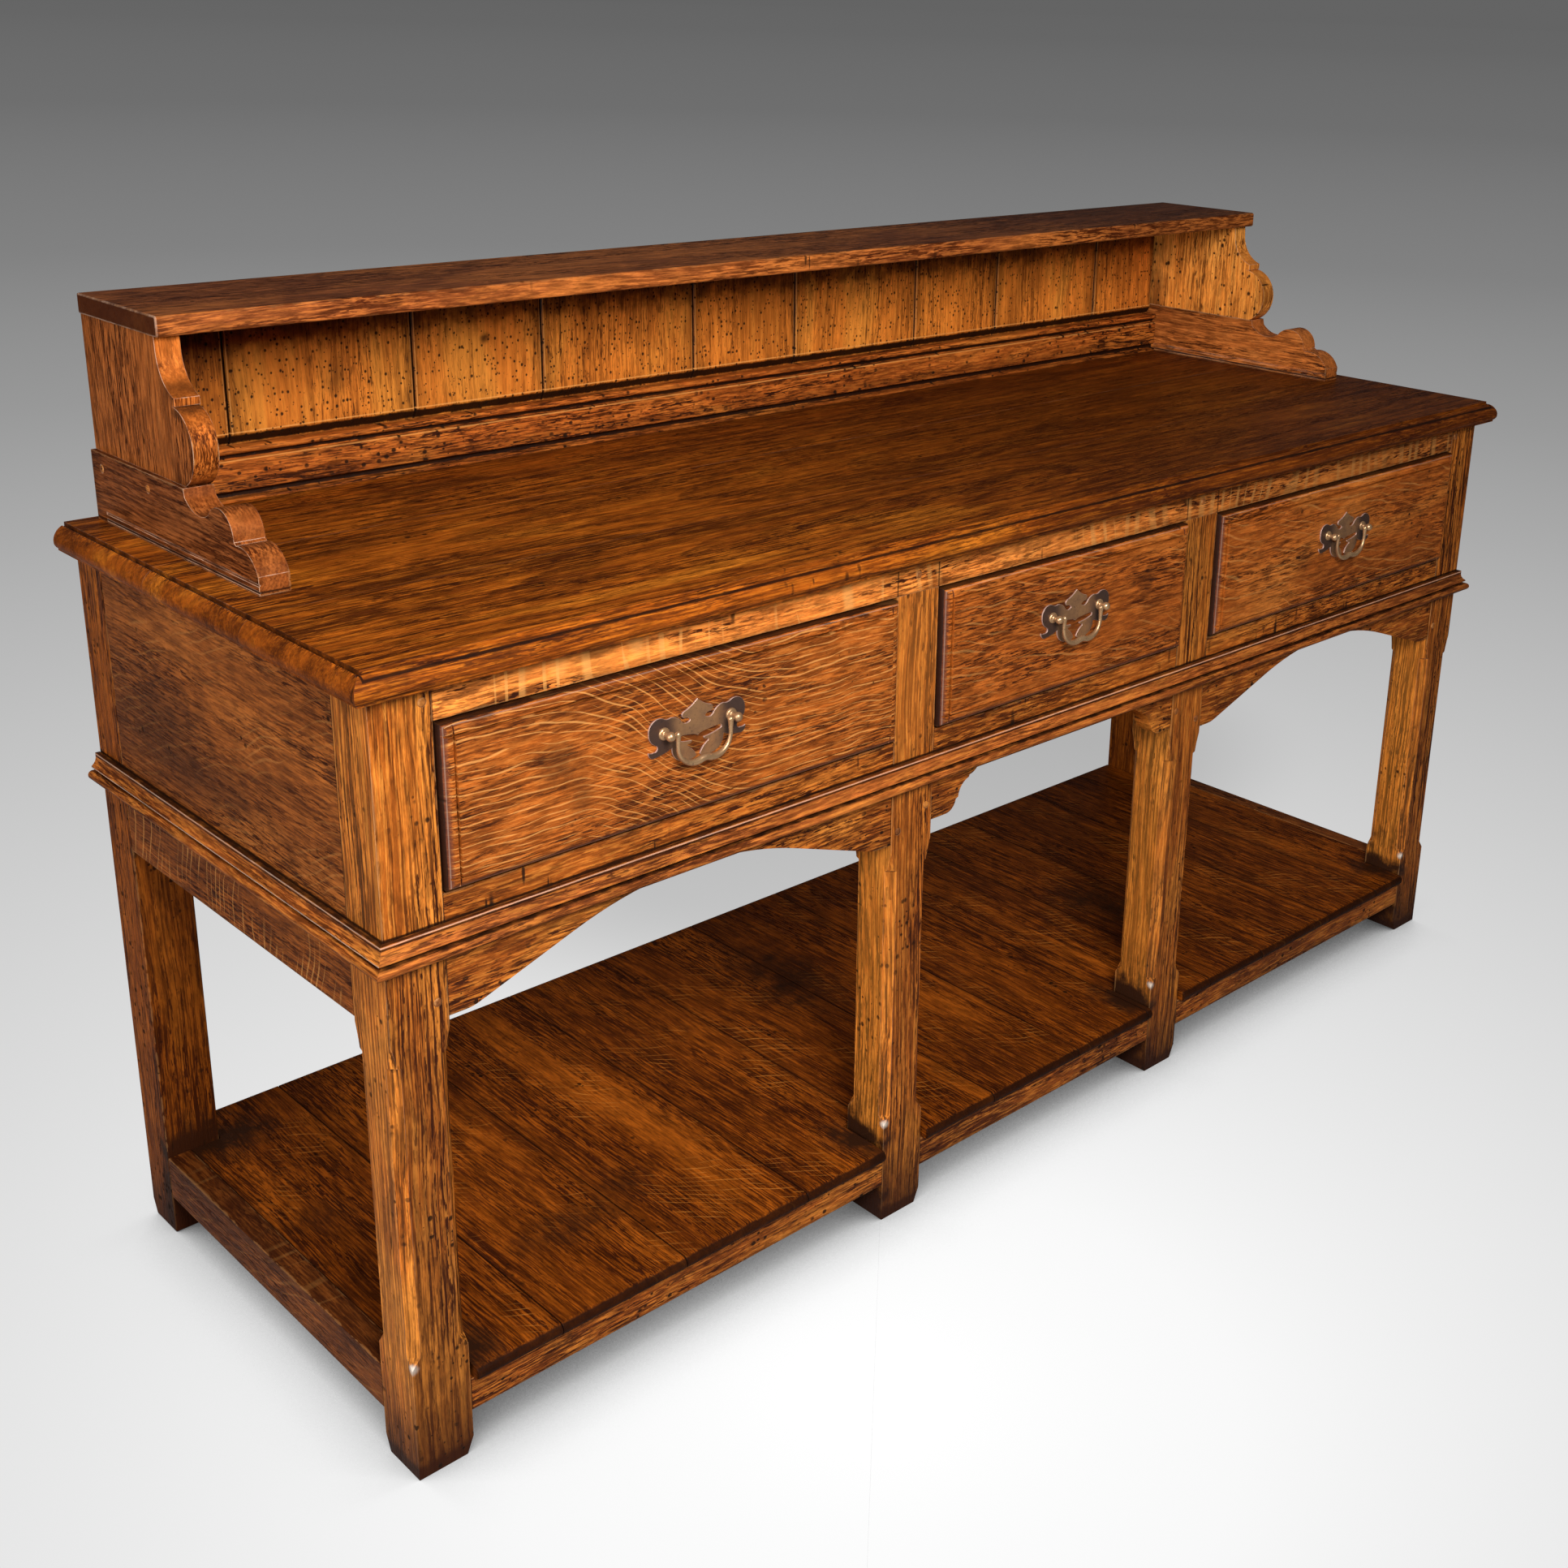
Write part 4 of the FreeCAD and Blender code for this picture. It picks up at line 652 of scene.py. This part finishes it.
               ((-0.796, 0.085, 0.845), (0.05, 0.04, 0.022), 0.9)]),
    # painted light on the front faces, a painted glint on the arrises, painted shade along the foot
    "baseOak": lookOf(
        mid=(0.19, 0.049, 0.011), pale=(0.34, 0.104, 0.027), rings=0.9, ringSize=0.003, along=24.0,
        across=420.0, frontGain=(1.5, 1.45, 1.2), stain=0.4, rubbed=0.15, glint=0.65, holeCover=0.3,
        shine=0.06, grime=[("height", 0.783, 0.0012, 0.8)]),
    # a painted glint on the arrises, painted shade along the foot
    "rightBaseOak": lookOf(
        mid=(0.5, 0.135, 0.025), pale=(0.7, 0.23, 0.05), along=24.0, across=420.0, stain=0.6, rubbed=0.15,
        glint=0.5, holeCover=0.3, grime=[("height", 0.783, 0.0012, 0.8)]),
    # painted shade on the lip's left and lower sides and in the gap round the front, a painted highlight on the
    # arris
    "drawerOak": lookOf(
        mid=(0.41, 0.097, 0.012), pale=(0.64, 0.205, 0.035), along=36.0, across=440.0, flake=0.5, flakeTilt=0,
        flakeDrop=17.0, dropFrom=-0.66, dropTo=-0.43, flakeLines=155.0, flakeWidth=0.085, flakeBreak=26.0,
        flakeCover=0.8, leeDark=0.8, stain=0.2, stainReach=0.006, grime=drawerLines,
        spots=[behindHandles["left"], ((-0.667, -0.273, 0.657), (0.035, 0.03, 0.03), 0.75),
               ((-0.643, -0.273, 0.618), (0.02, 0.03, 0.035), 0.55)]),
    # a little darker than the left drawer as painted shade, where the light falls off to the right; painted
    # shade on the lip and in the gap, a painted highlight on the arris
    "plainDrawerOak": lookOf(
        mid=(0.38, 0.088, 0.011), pale=(0.58, 0.175, 0.028), streaks=0.6, along=36.0, across=440.0, pores=0.7,
        mottle=0.9, flake=0.25, flakeTilt=10, leeDark=0.8, stain=0.2, stainReach=0.006, grime=drawerLines,
        spots=[behindHandles["centre"], behindHandles["right"],
               ((0.123, -0.273, 0.662), (0.02, 0.03, 0.03), 0.6),
               ((0.437, -0.273, 0.632), (0.025, 0.03, 0.03), 0.5)]),
    "innerOak": lookOf(
        mid=(0.42, 0.17, 0.055), pale=(0.55, 0.26, 0.1), dark=(0.16, 0.06, 0.02), stain=0.25, holeCover=0.25,
        rough=0.62, wax=0.0),
}
oak = {name: oakFinish(name, look, finishSetting) for name, look in finishes.items()}
print("oak finishes made,", len(oak))


# brass: tarnished in patches and specked
brassSetting = {
    "tarnish": ((1, 1, 1), 55.0, 4.0, 0.6), "tarnishFade": (0.36, 0.66), "tarnishRough": 0.2,
    "wingFade": (0.018, 0.036), "rimFade": (0.97, 0.8), "rimDepth": 0.85,
    "speck": ((1, 1, 1), 420.0, 2.0, 0.6), "speckFade": (0.6, 0.72), "speckDepth": 0.5,
    "bump": 0.15, "bumpDistance": 0.0003,
}
brassLooks = {
    # the rim of the aged brass is the colour of the painted highlight on the plate's edge
    "agedBrass": {"bright": (0.42, 0.215, 0.095), "dull": (0.27, 0.14, 0.07), "spot": (0.05, 0.029, 0.029),
                  "wing": 0.85, "rim": (0.66, 0.44, 0.36), "rough": 0.4, "metal": 0.6},
    "rubbedBrass": {"bright": (0.6, 0.36, 0.18), "dull": (0.42, 0.24, 0.12), "spot": (0.1, 0.055, 0.045),
                    "wing": 0.0, "rough": 0.24, "metal": 0.7},
}


def brassFinish(name, look, setting):
    material = bpy.data.materials.new(name)
    material.use_nodes = True
    tree = material.node_tree
    surface = tree.nodes["Principled BSDF"]
    spot = put(tree, "TexCoord").outputs
    tarnish = fade(tree, cloud(tree, spot["Object"], *setting["tarnish"])[0], *setting["tarnishFade"])
    colour = blendColour(tree, tarnish, look["bright"], look["dull"])
    if look["wing"]:
        # the wings of the plate are darker than its middle, and the edge all round gets a painted highlight
        # where it turns from the front
        wing = sums(tree, "ABSOLUTE", readMark(tree, "fromMiddle", "Fac"))
        wing = times(tree, fade(tree, wing, *setting["wingFade"]), look["wing"])
        colour = blendColour(tree, wing, colour, look["spot"])
        facing = sums(tree, "ABSOLUTE", axesOf(tree, spot["Normal"])[1])
        rim = times(tree, fade(tree, facing, *setting["rimFade"]), setting["rimDepth"])
        colour = blendColour(tree, rim, colour, look["rim"])
    speck = fade(tree, cloud(tree, spot["Object"], *setting["speck"])[0], *setting["speckFade"])
    colour = blendColour(tree, times(tree, speck, setting["speckDepth"]), colour, look["spot"])
    tree.links.new(colour, surface.inputs["Base Color"])
    rough = sums(tree, "MULTIPLY_ADD", tarnish, setting["tarnishRough"], look["rough"])
    tree.links.new(rough, surface.inputs["Roughness"])
    surface.inputs["Metallic"].default_value = look["metal"]
    bump = put(tree, "Bump", {"Height": speck, "Strength": setting["bump"],
                              "Distance": setting["bumpDistance"]})
    tree.links.new(bump.outputs[0], surface.inputs["Normal"])
    return material


brass = {name: brassFinish(name, look, brassSetting) for name, look in brassLooks.items()}
print("brass made")


# boards: each solid of a node becomes a board of its own, with softened arrises and its own grain
mergeSetting = {"gap": 0.00001, "angle": 0.7}
grainDraws = {"heart": ((-0.8, 0.8), (-0.08, 0.08), (0.02, 0.07)), "seed": (-20, 20), "tone": (-1, 1)}


def boxOf(piece):
    spots = [vertex.co for vertex in piece.data.vertices]
    low = Vector([min(spot[axis] for spot in spots) for axis in range(3)])
    high = Vector([max(spot[axis] for spot in spots) for axis in range(3)])
    return low, high


def splitNode(node):
    bpy.ops.object.select_all(action="DESELECT")
    copy = bpy.data.objects.new(node + "_worn", frame["nodes"][node].data.copy())
    bpy.context.scene.collection.objects.link(copy)
    copy.select_set(True)
    bpy.context.view_layer.objects.active = copy
    bpy.ops.mesh.customdata_custom_splitnormals_clear()
    bpy.ops.object.mode_set(mode="EDIT")
    bpy.ops.mesh.select_all(action="SELECT")
    bpy.ops.mesh.remove_doubles(threshold=mergeSetting["gap"])
    bpy.ops.mesh.dissolve_limited(angle_limit=math.radians(mergeSetting["angle"]))
    bpy.ops.mesh.separate(type="LOOSE")
    bpy.ops.object.mode_set(mode="OBJECT")
    boards = list(bpy.context.selected_objects)
    boards.sort(key=lambda board: [round(sum(corner), 4) for corner in zip(*boxOf(board))])
    for count, board in enumerate(boards, 1):
        board.name = node + "_worn" if len(boards) == 1 else node + "_worn_" + str(count)
    return boards


def softenEdges(board, radius, steps=2, angle=32):
    bpy.ops.object.select_all(action="DESELECT")
    board.select_set(True)
    bpy.context.view_layer.objects.active = board
    bpy.ops.object.shade_smooth_by_angle(angle=math.radians(angle))
    bpy.ops.object.modifier_add(type="BEVEL")
    arris = board.modifiers[-1]
    arris.width = radius
    arris.segments = steps
    arris.limit_method = "ANGLE"
    arris.angle_limit = math.radians(angle)
    arris.harden_normals = True
    # the new faces are marked through a spare slot, for the painted glint highlight along the arrises
    board.data.materials.clear()
    for spare in range(2):
        board.data.materials.append(None)
    arris.material = 1
    bpy.ops.object.modifier_apply(modifier=arris.name)
    marks = [float(face.material_index) for face in board.data.polygons]
    board.data.attributes.new("arris", "FLOAT", "FACE").data.foreach_set("value", marks)


def layGrain(board, along, drawName):
    low, high = boxOf(board)
    middle = (low + high) / 2
    size = high - low
    others = sorted((axis for axis in range(3) if axis != along), key=lambda axis: -size[axis])
    draw = random.Random(drawName)
    heart = Vector([draw.uniform(*ends) for ends in grainDraws["heart"]])
    seed = [draw.uniform(*grainDraws["seed"]) for axis in range(3)]
    tone = draw.uniform(*grainDraws["tone"])
    mesh = board.data
    grain, fromLow, toHigh = [], [], []
    for vertex in mesh.vertices:
        spot = vertex.co - middle
        grain += [spot[along] + heart.x, spot[others[0]] + heart.y, spot[others[1]] + heart.z]
        fromLow += list(vertex.co - low)
        toHigh += list(high - vertex.co)
    count = len(mesh.vertices)
    for name, values in (("grain", grain), ("seed", seed * count), ("fromLow", fromLow), ("toHigh", toHigh)):
        mesh.attributes.new(name, "FLOAT_VECTOR", "POINT").data.foreach_set("vector", values)
    mesh.attributes.new("tone", "FLOAT", "POINT").data.foreach_set("value", [tone] * count)
    lengthwise = [float(axis == along) for axis in range(3)]
    mesh.attributes.new("along", "FLOAT_VECTOR", "POINT").data.foreach_set("vector", lengthwise * count)


def dressBoards(nodes, setting):
    for node in nodes:
        for count, board in enumerate(splitNode(node)):
            softenEdges(board, setting["round"])
            layGrain(board, "xyz".index(setting["grain"]), node + str(count))
            board.data.materials.clear()
            board.data.materials.append(oak[setting["finish"]])
            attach(board, nodeBody[node])
            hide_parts(node)


boardSets = [
    (["top_plank_front", "top_plank_middle", "top_plank_rear"],
     {"grain": "x", "round": 0.0016, "finish": "topOak", "slot": "oak_top"}),
    (["leg_front_left"], {"grain": "z", "round": 0.0016, "finish": "cornerOak", "slot": "oak_case"}),
    (["leg_front_inner_left", "leg_front_inner_right", "leg_front_right"],
     {"grain": "z", "round": 0.0016, "finish": "legOak", "slot": "oak_case"}),
    (["leg_rear_left", "leg_rear_right"],
     {"grain": "z", "round": 0.0016, "finish": "rearLegOak", "slot": "oak_case"}),
    (["front_top_rail"], {"grain": "x", "round": 0.0012, "finish": "railOak", "slot": "oak_case"}),
    (["drawer_rails"], {"grain": "x", "round": 0.0012, "finish": "drawerRailOak", "slot": "oak_case"}),
    (["apron_left", "apron_centre", "apron_right"],
     {"grain": "x", "round": 0.0012, "finish": "apronOak", "slot": "oak_case"}),
    (["side_panel_left", "side_panel_right"],
     {"grain": "y", "round": 0.001, "finish": "panelOak", "slot": "oak_case"}),
    (["side_apron_left", "side_apron_right"],
     {"grain": "y", "round": 0.001, "finish": "sideApronOak", "slot": "oak_case"}),
    (["joint_pegs"], {"grain": "y", "round": 0.0006, "finish": "pegOak", "slot": "oak_case"}),
    (["waist_moulding_front"], {"grain": "x", "round": 0.0005, "finish": "mouldOak", "slot": "oak_moulding"}),
    (["waist_moulding_left", "waist_moulding_right"],
     {"grain": "y", "round": 0.0005, "finish": "sideMouldOak", "slot": "oak_moulding"}),
    (["potboard_planks"], {"grain": "y", "round": 0.0007, "finish": "potOak", "slot": "oak_potboard"}),
    (["potboard_front_rails", "potboard_rear_rail"],
     {"grain": "x", "round": 0.0012, "finish": "apronOak", "slot": "oak_potboard"}),
    (["potboard_side_rails"], {"grain": "y", "round": 0.0012, "finish": "panelOak", "slot": "oak_potboard"}),
    (["gallery_shelf"], {"grain": "x", "round": 0.0016, "finish": "shelfOak", "slot": "oak_gallery"}),
    (["gallery_back_rail"], {"grain": "x", "round": 0.0006, "finish": "galleryRailOak", "slot": "oak_gallery"}),
    (["gallery_upright_left"],
     {"grain": "z", "round": 0.0009, "finish": "outerUprightOak", "slot": "oak_gallery"}),
    (["gallery_upright_right"], {"grain": "z", "round": 0.0009, "finish": "uprightOak", "slot": "oak_gallery"}),
    (["gallery_base_left"], {"grain": "y", "round": 0.0009, "finish": "baseOak", "slot": "oak_gallery"}),
    (["gallery_base_right"], {"grain": "y", "round": 0.0009, "finish": "rightBaseOak", "slot": "oak_gallery"}),
    (["gallery_back_boards"], {"grain": "z", "round": 0.0008, "finish": "boardOak", "slot": "oak_gallery"}),
    (["drawer_front_left"], {"grain": "x", "round": 0.0008, "finish": "drawerOak", "slot": "oak_drawer"}),
    (["drawer_front_centre", "drawer_front_right"],
     {"grain": "x", "round": 0.0008, "finish": "plainDrawerOak", "slot": "oak_drawer"}),
    (["back_top_rail", "back_bottom_rail", "drawer_back_left", "drawer_back_centre", "drawer_back_right",
      "drawer_bottom_left", "drawer_bottom_centre", "drawer_bottom_right", "drawer_stops"],
     {"grain": "x", "round": 0.0008, "finish": "innerOak", "slot": "oak_inner"}),
    (["back_boards"], {"grain": "z", "round": 0.001, "finish": "innerOak", "slot": "oak_inner"}),
    (["drawer_runners", "drawer_kickers", "drawer_sides_left", "drawer_sides_centre", "drawer_sides_right"],
     {"grain": "y", "round": 0.0008, "finish": "innerOak", "slot": "oak_inner"}),
]
for nodes, setting in boardSets:
    dressBoards(nodes, setting)
print("boards dressed")

# brass handles keep their CAD shape, with softened edges
handleSetting = {"plate": {"round": 0.0011, "finish": "agedBrass"},
                 "posts": {"round": 0.0003, "finish": "rubbedBrass"},
                 "bail": {"round": 0.0002, "finish": "rubbedBrass"}}
for bay in ("left", "centre", "right"):
    for part, setting in handleSetting.items():
        node = "handle_" + part + "_" + bay
        for piece in splitNode(node):
            softenEdges(piece, setting["round"])
            low, high = boxOf(piece)
            spread = [vertex.co.x - (low.x + high.x) / 2 for vertex in piece.data.vertices]
            piece.data.attributes.new("fromMiddle", "FLOAT", "POINT").data.foreach_set("value", spread)
            piece.data.materials.clear()
            piece.data.materials.append(brass[setting["finish"]])
            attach(piece, nodeBody[node])
            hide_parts(node)
print("handles dressed")

# camera, floor and light
studio = {
    "place": (-1.5142, -1.53005, 1.2776), "turn": -45.0, "tilt": 19.06, "roll": 1.645,
    "lens": 43.762, "shift": (-0.07804, -0.08252), "farEnd": 1000.0,
    "floorSize": 300.0, "floorMiddle": (-0.45, -0.45, 0.0), "floorBase": (0.3, 0.3, 0.3), "floorRough": 0.9,
    "greyStart": 0.4, "greyShift": 1.4, "greySpan": 9.4,
    "shadowMiddle": (0.55, 0.55, 0.0), "shadowSize": (0.95, 0.55, 1.0), "shadowFade": (0.5, 1.0, 0.74, 1.0),
    "shelterReach": 0.2, "shelterFade": (0.08, 0.8, 0.06, 1.0),
    "floorGreys": [(0.02, 1.02), (0.106, 0.945), (0.36, 0.405), (0.41, 0.315), (0.49, 0.22), (0.62, 0.157),
                   (0.8, 0.133), (1.0, 0.127)],
    "keyPlace": (-1.1, -1.75, 1.85), "keyAim": (-0.3, 0.0, 0.5), "keySize": 0.8,
    "keyPower": 60.0, "keyGlare": True,
    "sidePlace": (-3.4, -1.1, 1.3), "sideAim": (-0.3, 0.0, 0.5), "sideSize": 1.8,
    "sidePower": 60.0, "sideGlare": True,
    "backPlace": (-0.4, 3.6, 0.9), "backAim": (0.0, 0.0, 0.6), "backSize": 1.6,
    "backPower": 70.0, "backGlare": False,
    "sky": 0.127, "skyLight": 0.07,
}


def addCamera():
    bpy.ops.object.camera_add()
    camera = bpy.context.active_object
    turn = Matrix.Rotation(math.radians(studio["turn"]), 4, "Z")
    tilt = Matrix.Rotation(math.radians(90 - studio["tilt"]), 4, "X")
    roll = Matrix.Rotation(math.radians(studio["roll"]), 4, "Z")
    camera.matrix_world = Matrix.Translation(studio["place"]) @ turn @ tilt @ roll
    camera.data.lens = studio["lens"]
    camera.data.shift_x, camera.data.shift_y = studio["shift"]
    camera.data.clip_end = studio["farEnd"]
    bpy.context.scene.camera = camera


def addLamp(name):
    place = Vector(studio[name + "Place"])
    bpy.ops.object.light_add(type="AREA", location=place)
    lamp = bpy.context.active_object
    lamp.name = name + "_lamp"
    lamp.rotation_euler = (Vector(studio[name + "Aim"]) - place).to_track_quat("-Z", "Y").to_euler()
    lamp.data.size = studio[name + "Size"]
    lamp.data.energy = studio[name + "Power"]
    lamp.visible_glossy = studio[name + "Glare"]


def addFloor():
    bpy.ops.mesh.primitive_plane_add(size=studio["floorSize"])
    floor = bpy.context.active_object
    floor.name = "studio_floor"
    material = bpy.data.materials.new("paleFloor")
    material.use_nodes = True
    tree = material.node_tree
    surface = tree.nodes["Principled BSDF"]
    ground = put(tree, "TexCoord").outputs["Object"]
    # painted light on the floor falls off with the distance, in doublings
    away = lengthOf(tree, vectorSum(tree, "SUBTRACT", ground, studio["floorMiddle"]))
    away = sums(tree, "LOGARITHM", sums(tree, "ADD", away, studio["greyStart"]), 2.0)
    away = sums(tree, "DIVIDE", sums(tree, "ADD", away, studio["greyShift"]), studio["greySpan"])
    greys = put(tree, "ValToRGB", {0: away})
    for count, (stop, grey) in enumerate(studio["floorGreys"]):
        steps = greys.color_ramp.elements
        step = steps[min(count, 1)] if count < 2 else steps.new(stop)
        step.position = stop
        step.color = (grey, grey, grey, 1)
    shade = greys.outputs[0]
    # the object's soft shadow on the floor behind it
    behind = vectorSum(tree, "SUBTRACT", ground, studio["shadowMiddle"])
    behind = lengthOf(tree, vectorSum(tree, "DIVIDE", behind, studio["shadowSize"]))
    shade = times(tree, shade, fade(tree, behind, *studio["shadowFade"]))
    # painted contact shade on the floor, from ambient occlusion
    shelter = put(tree, "AmbientOcclusion", {"Distance": studio["shelterReach"]}, samples=8).outputs["AO"]
    shade = times(tree, shade, fade(tree, shelter, *studio["shelterFade"]))
    glow = put(tree, "Emission", {"Color": shade})
    surface.inputs["Base Color"].default_value = opaque(studio["floorBase"])
    surface.inputs["Roughness"].default_value = studio["floorRough"]
    surface.inputs["Specular IOR Level"].default_value = 0.0
    # the camera sees the floor glow with this painted light and shade, while other rays see a plain grey floor
    seen = put(tree, "LightPath").outputs["Is Camera Ray"]
    choice = put(tree, "MixShader", {0: seen, 1: surface.outputs[0], 2: glow.outputs[0]})
    tree.links.new(choice.outputs[0], tree.nodes["Material Output"].inputs["Surface"])
    floor.data.materials.append(material)


bpy.ops.object.select_all(action="DESELECT")
addCamera()
addFloor()
for lampName in ("key", "side", "back"):
    addLamp(lampName)
world = bpy.data.worlds.new("studioRoom")
world.use_nodes = True
sky = world.node_tree.nodes["Background"]
sky.inputs["Color"].default_value = (1, 1, 1, 1)
skySeen = put(world.node_tree, "LightPath").outputs["Is Camera Ray"]
skyGrey = fade(world.node_tree, skySeen, 0.0, 1.0, studio["skyLight"], studio["sky"])
world.node_tree.links.new(skyGrey, sky.inputs["Strength"])
bpy.context.scene.world = world
bpy.context.scene.view_settings.view_transform = "Standard"
print("studio set")
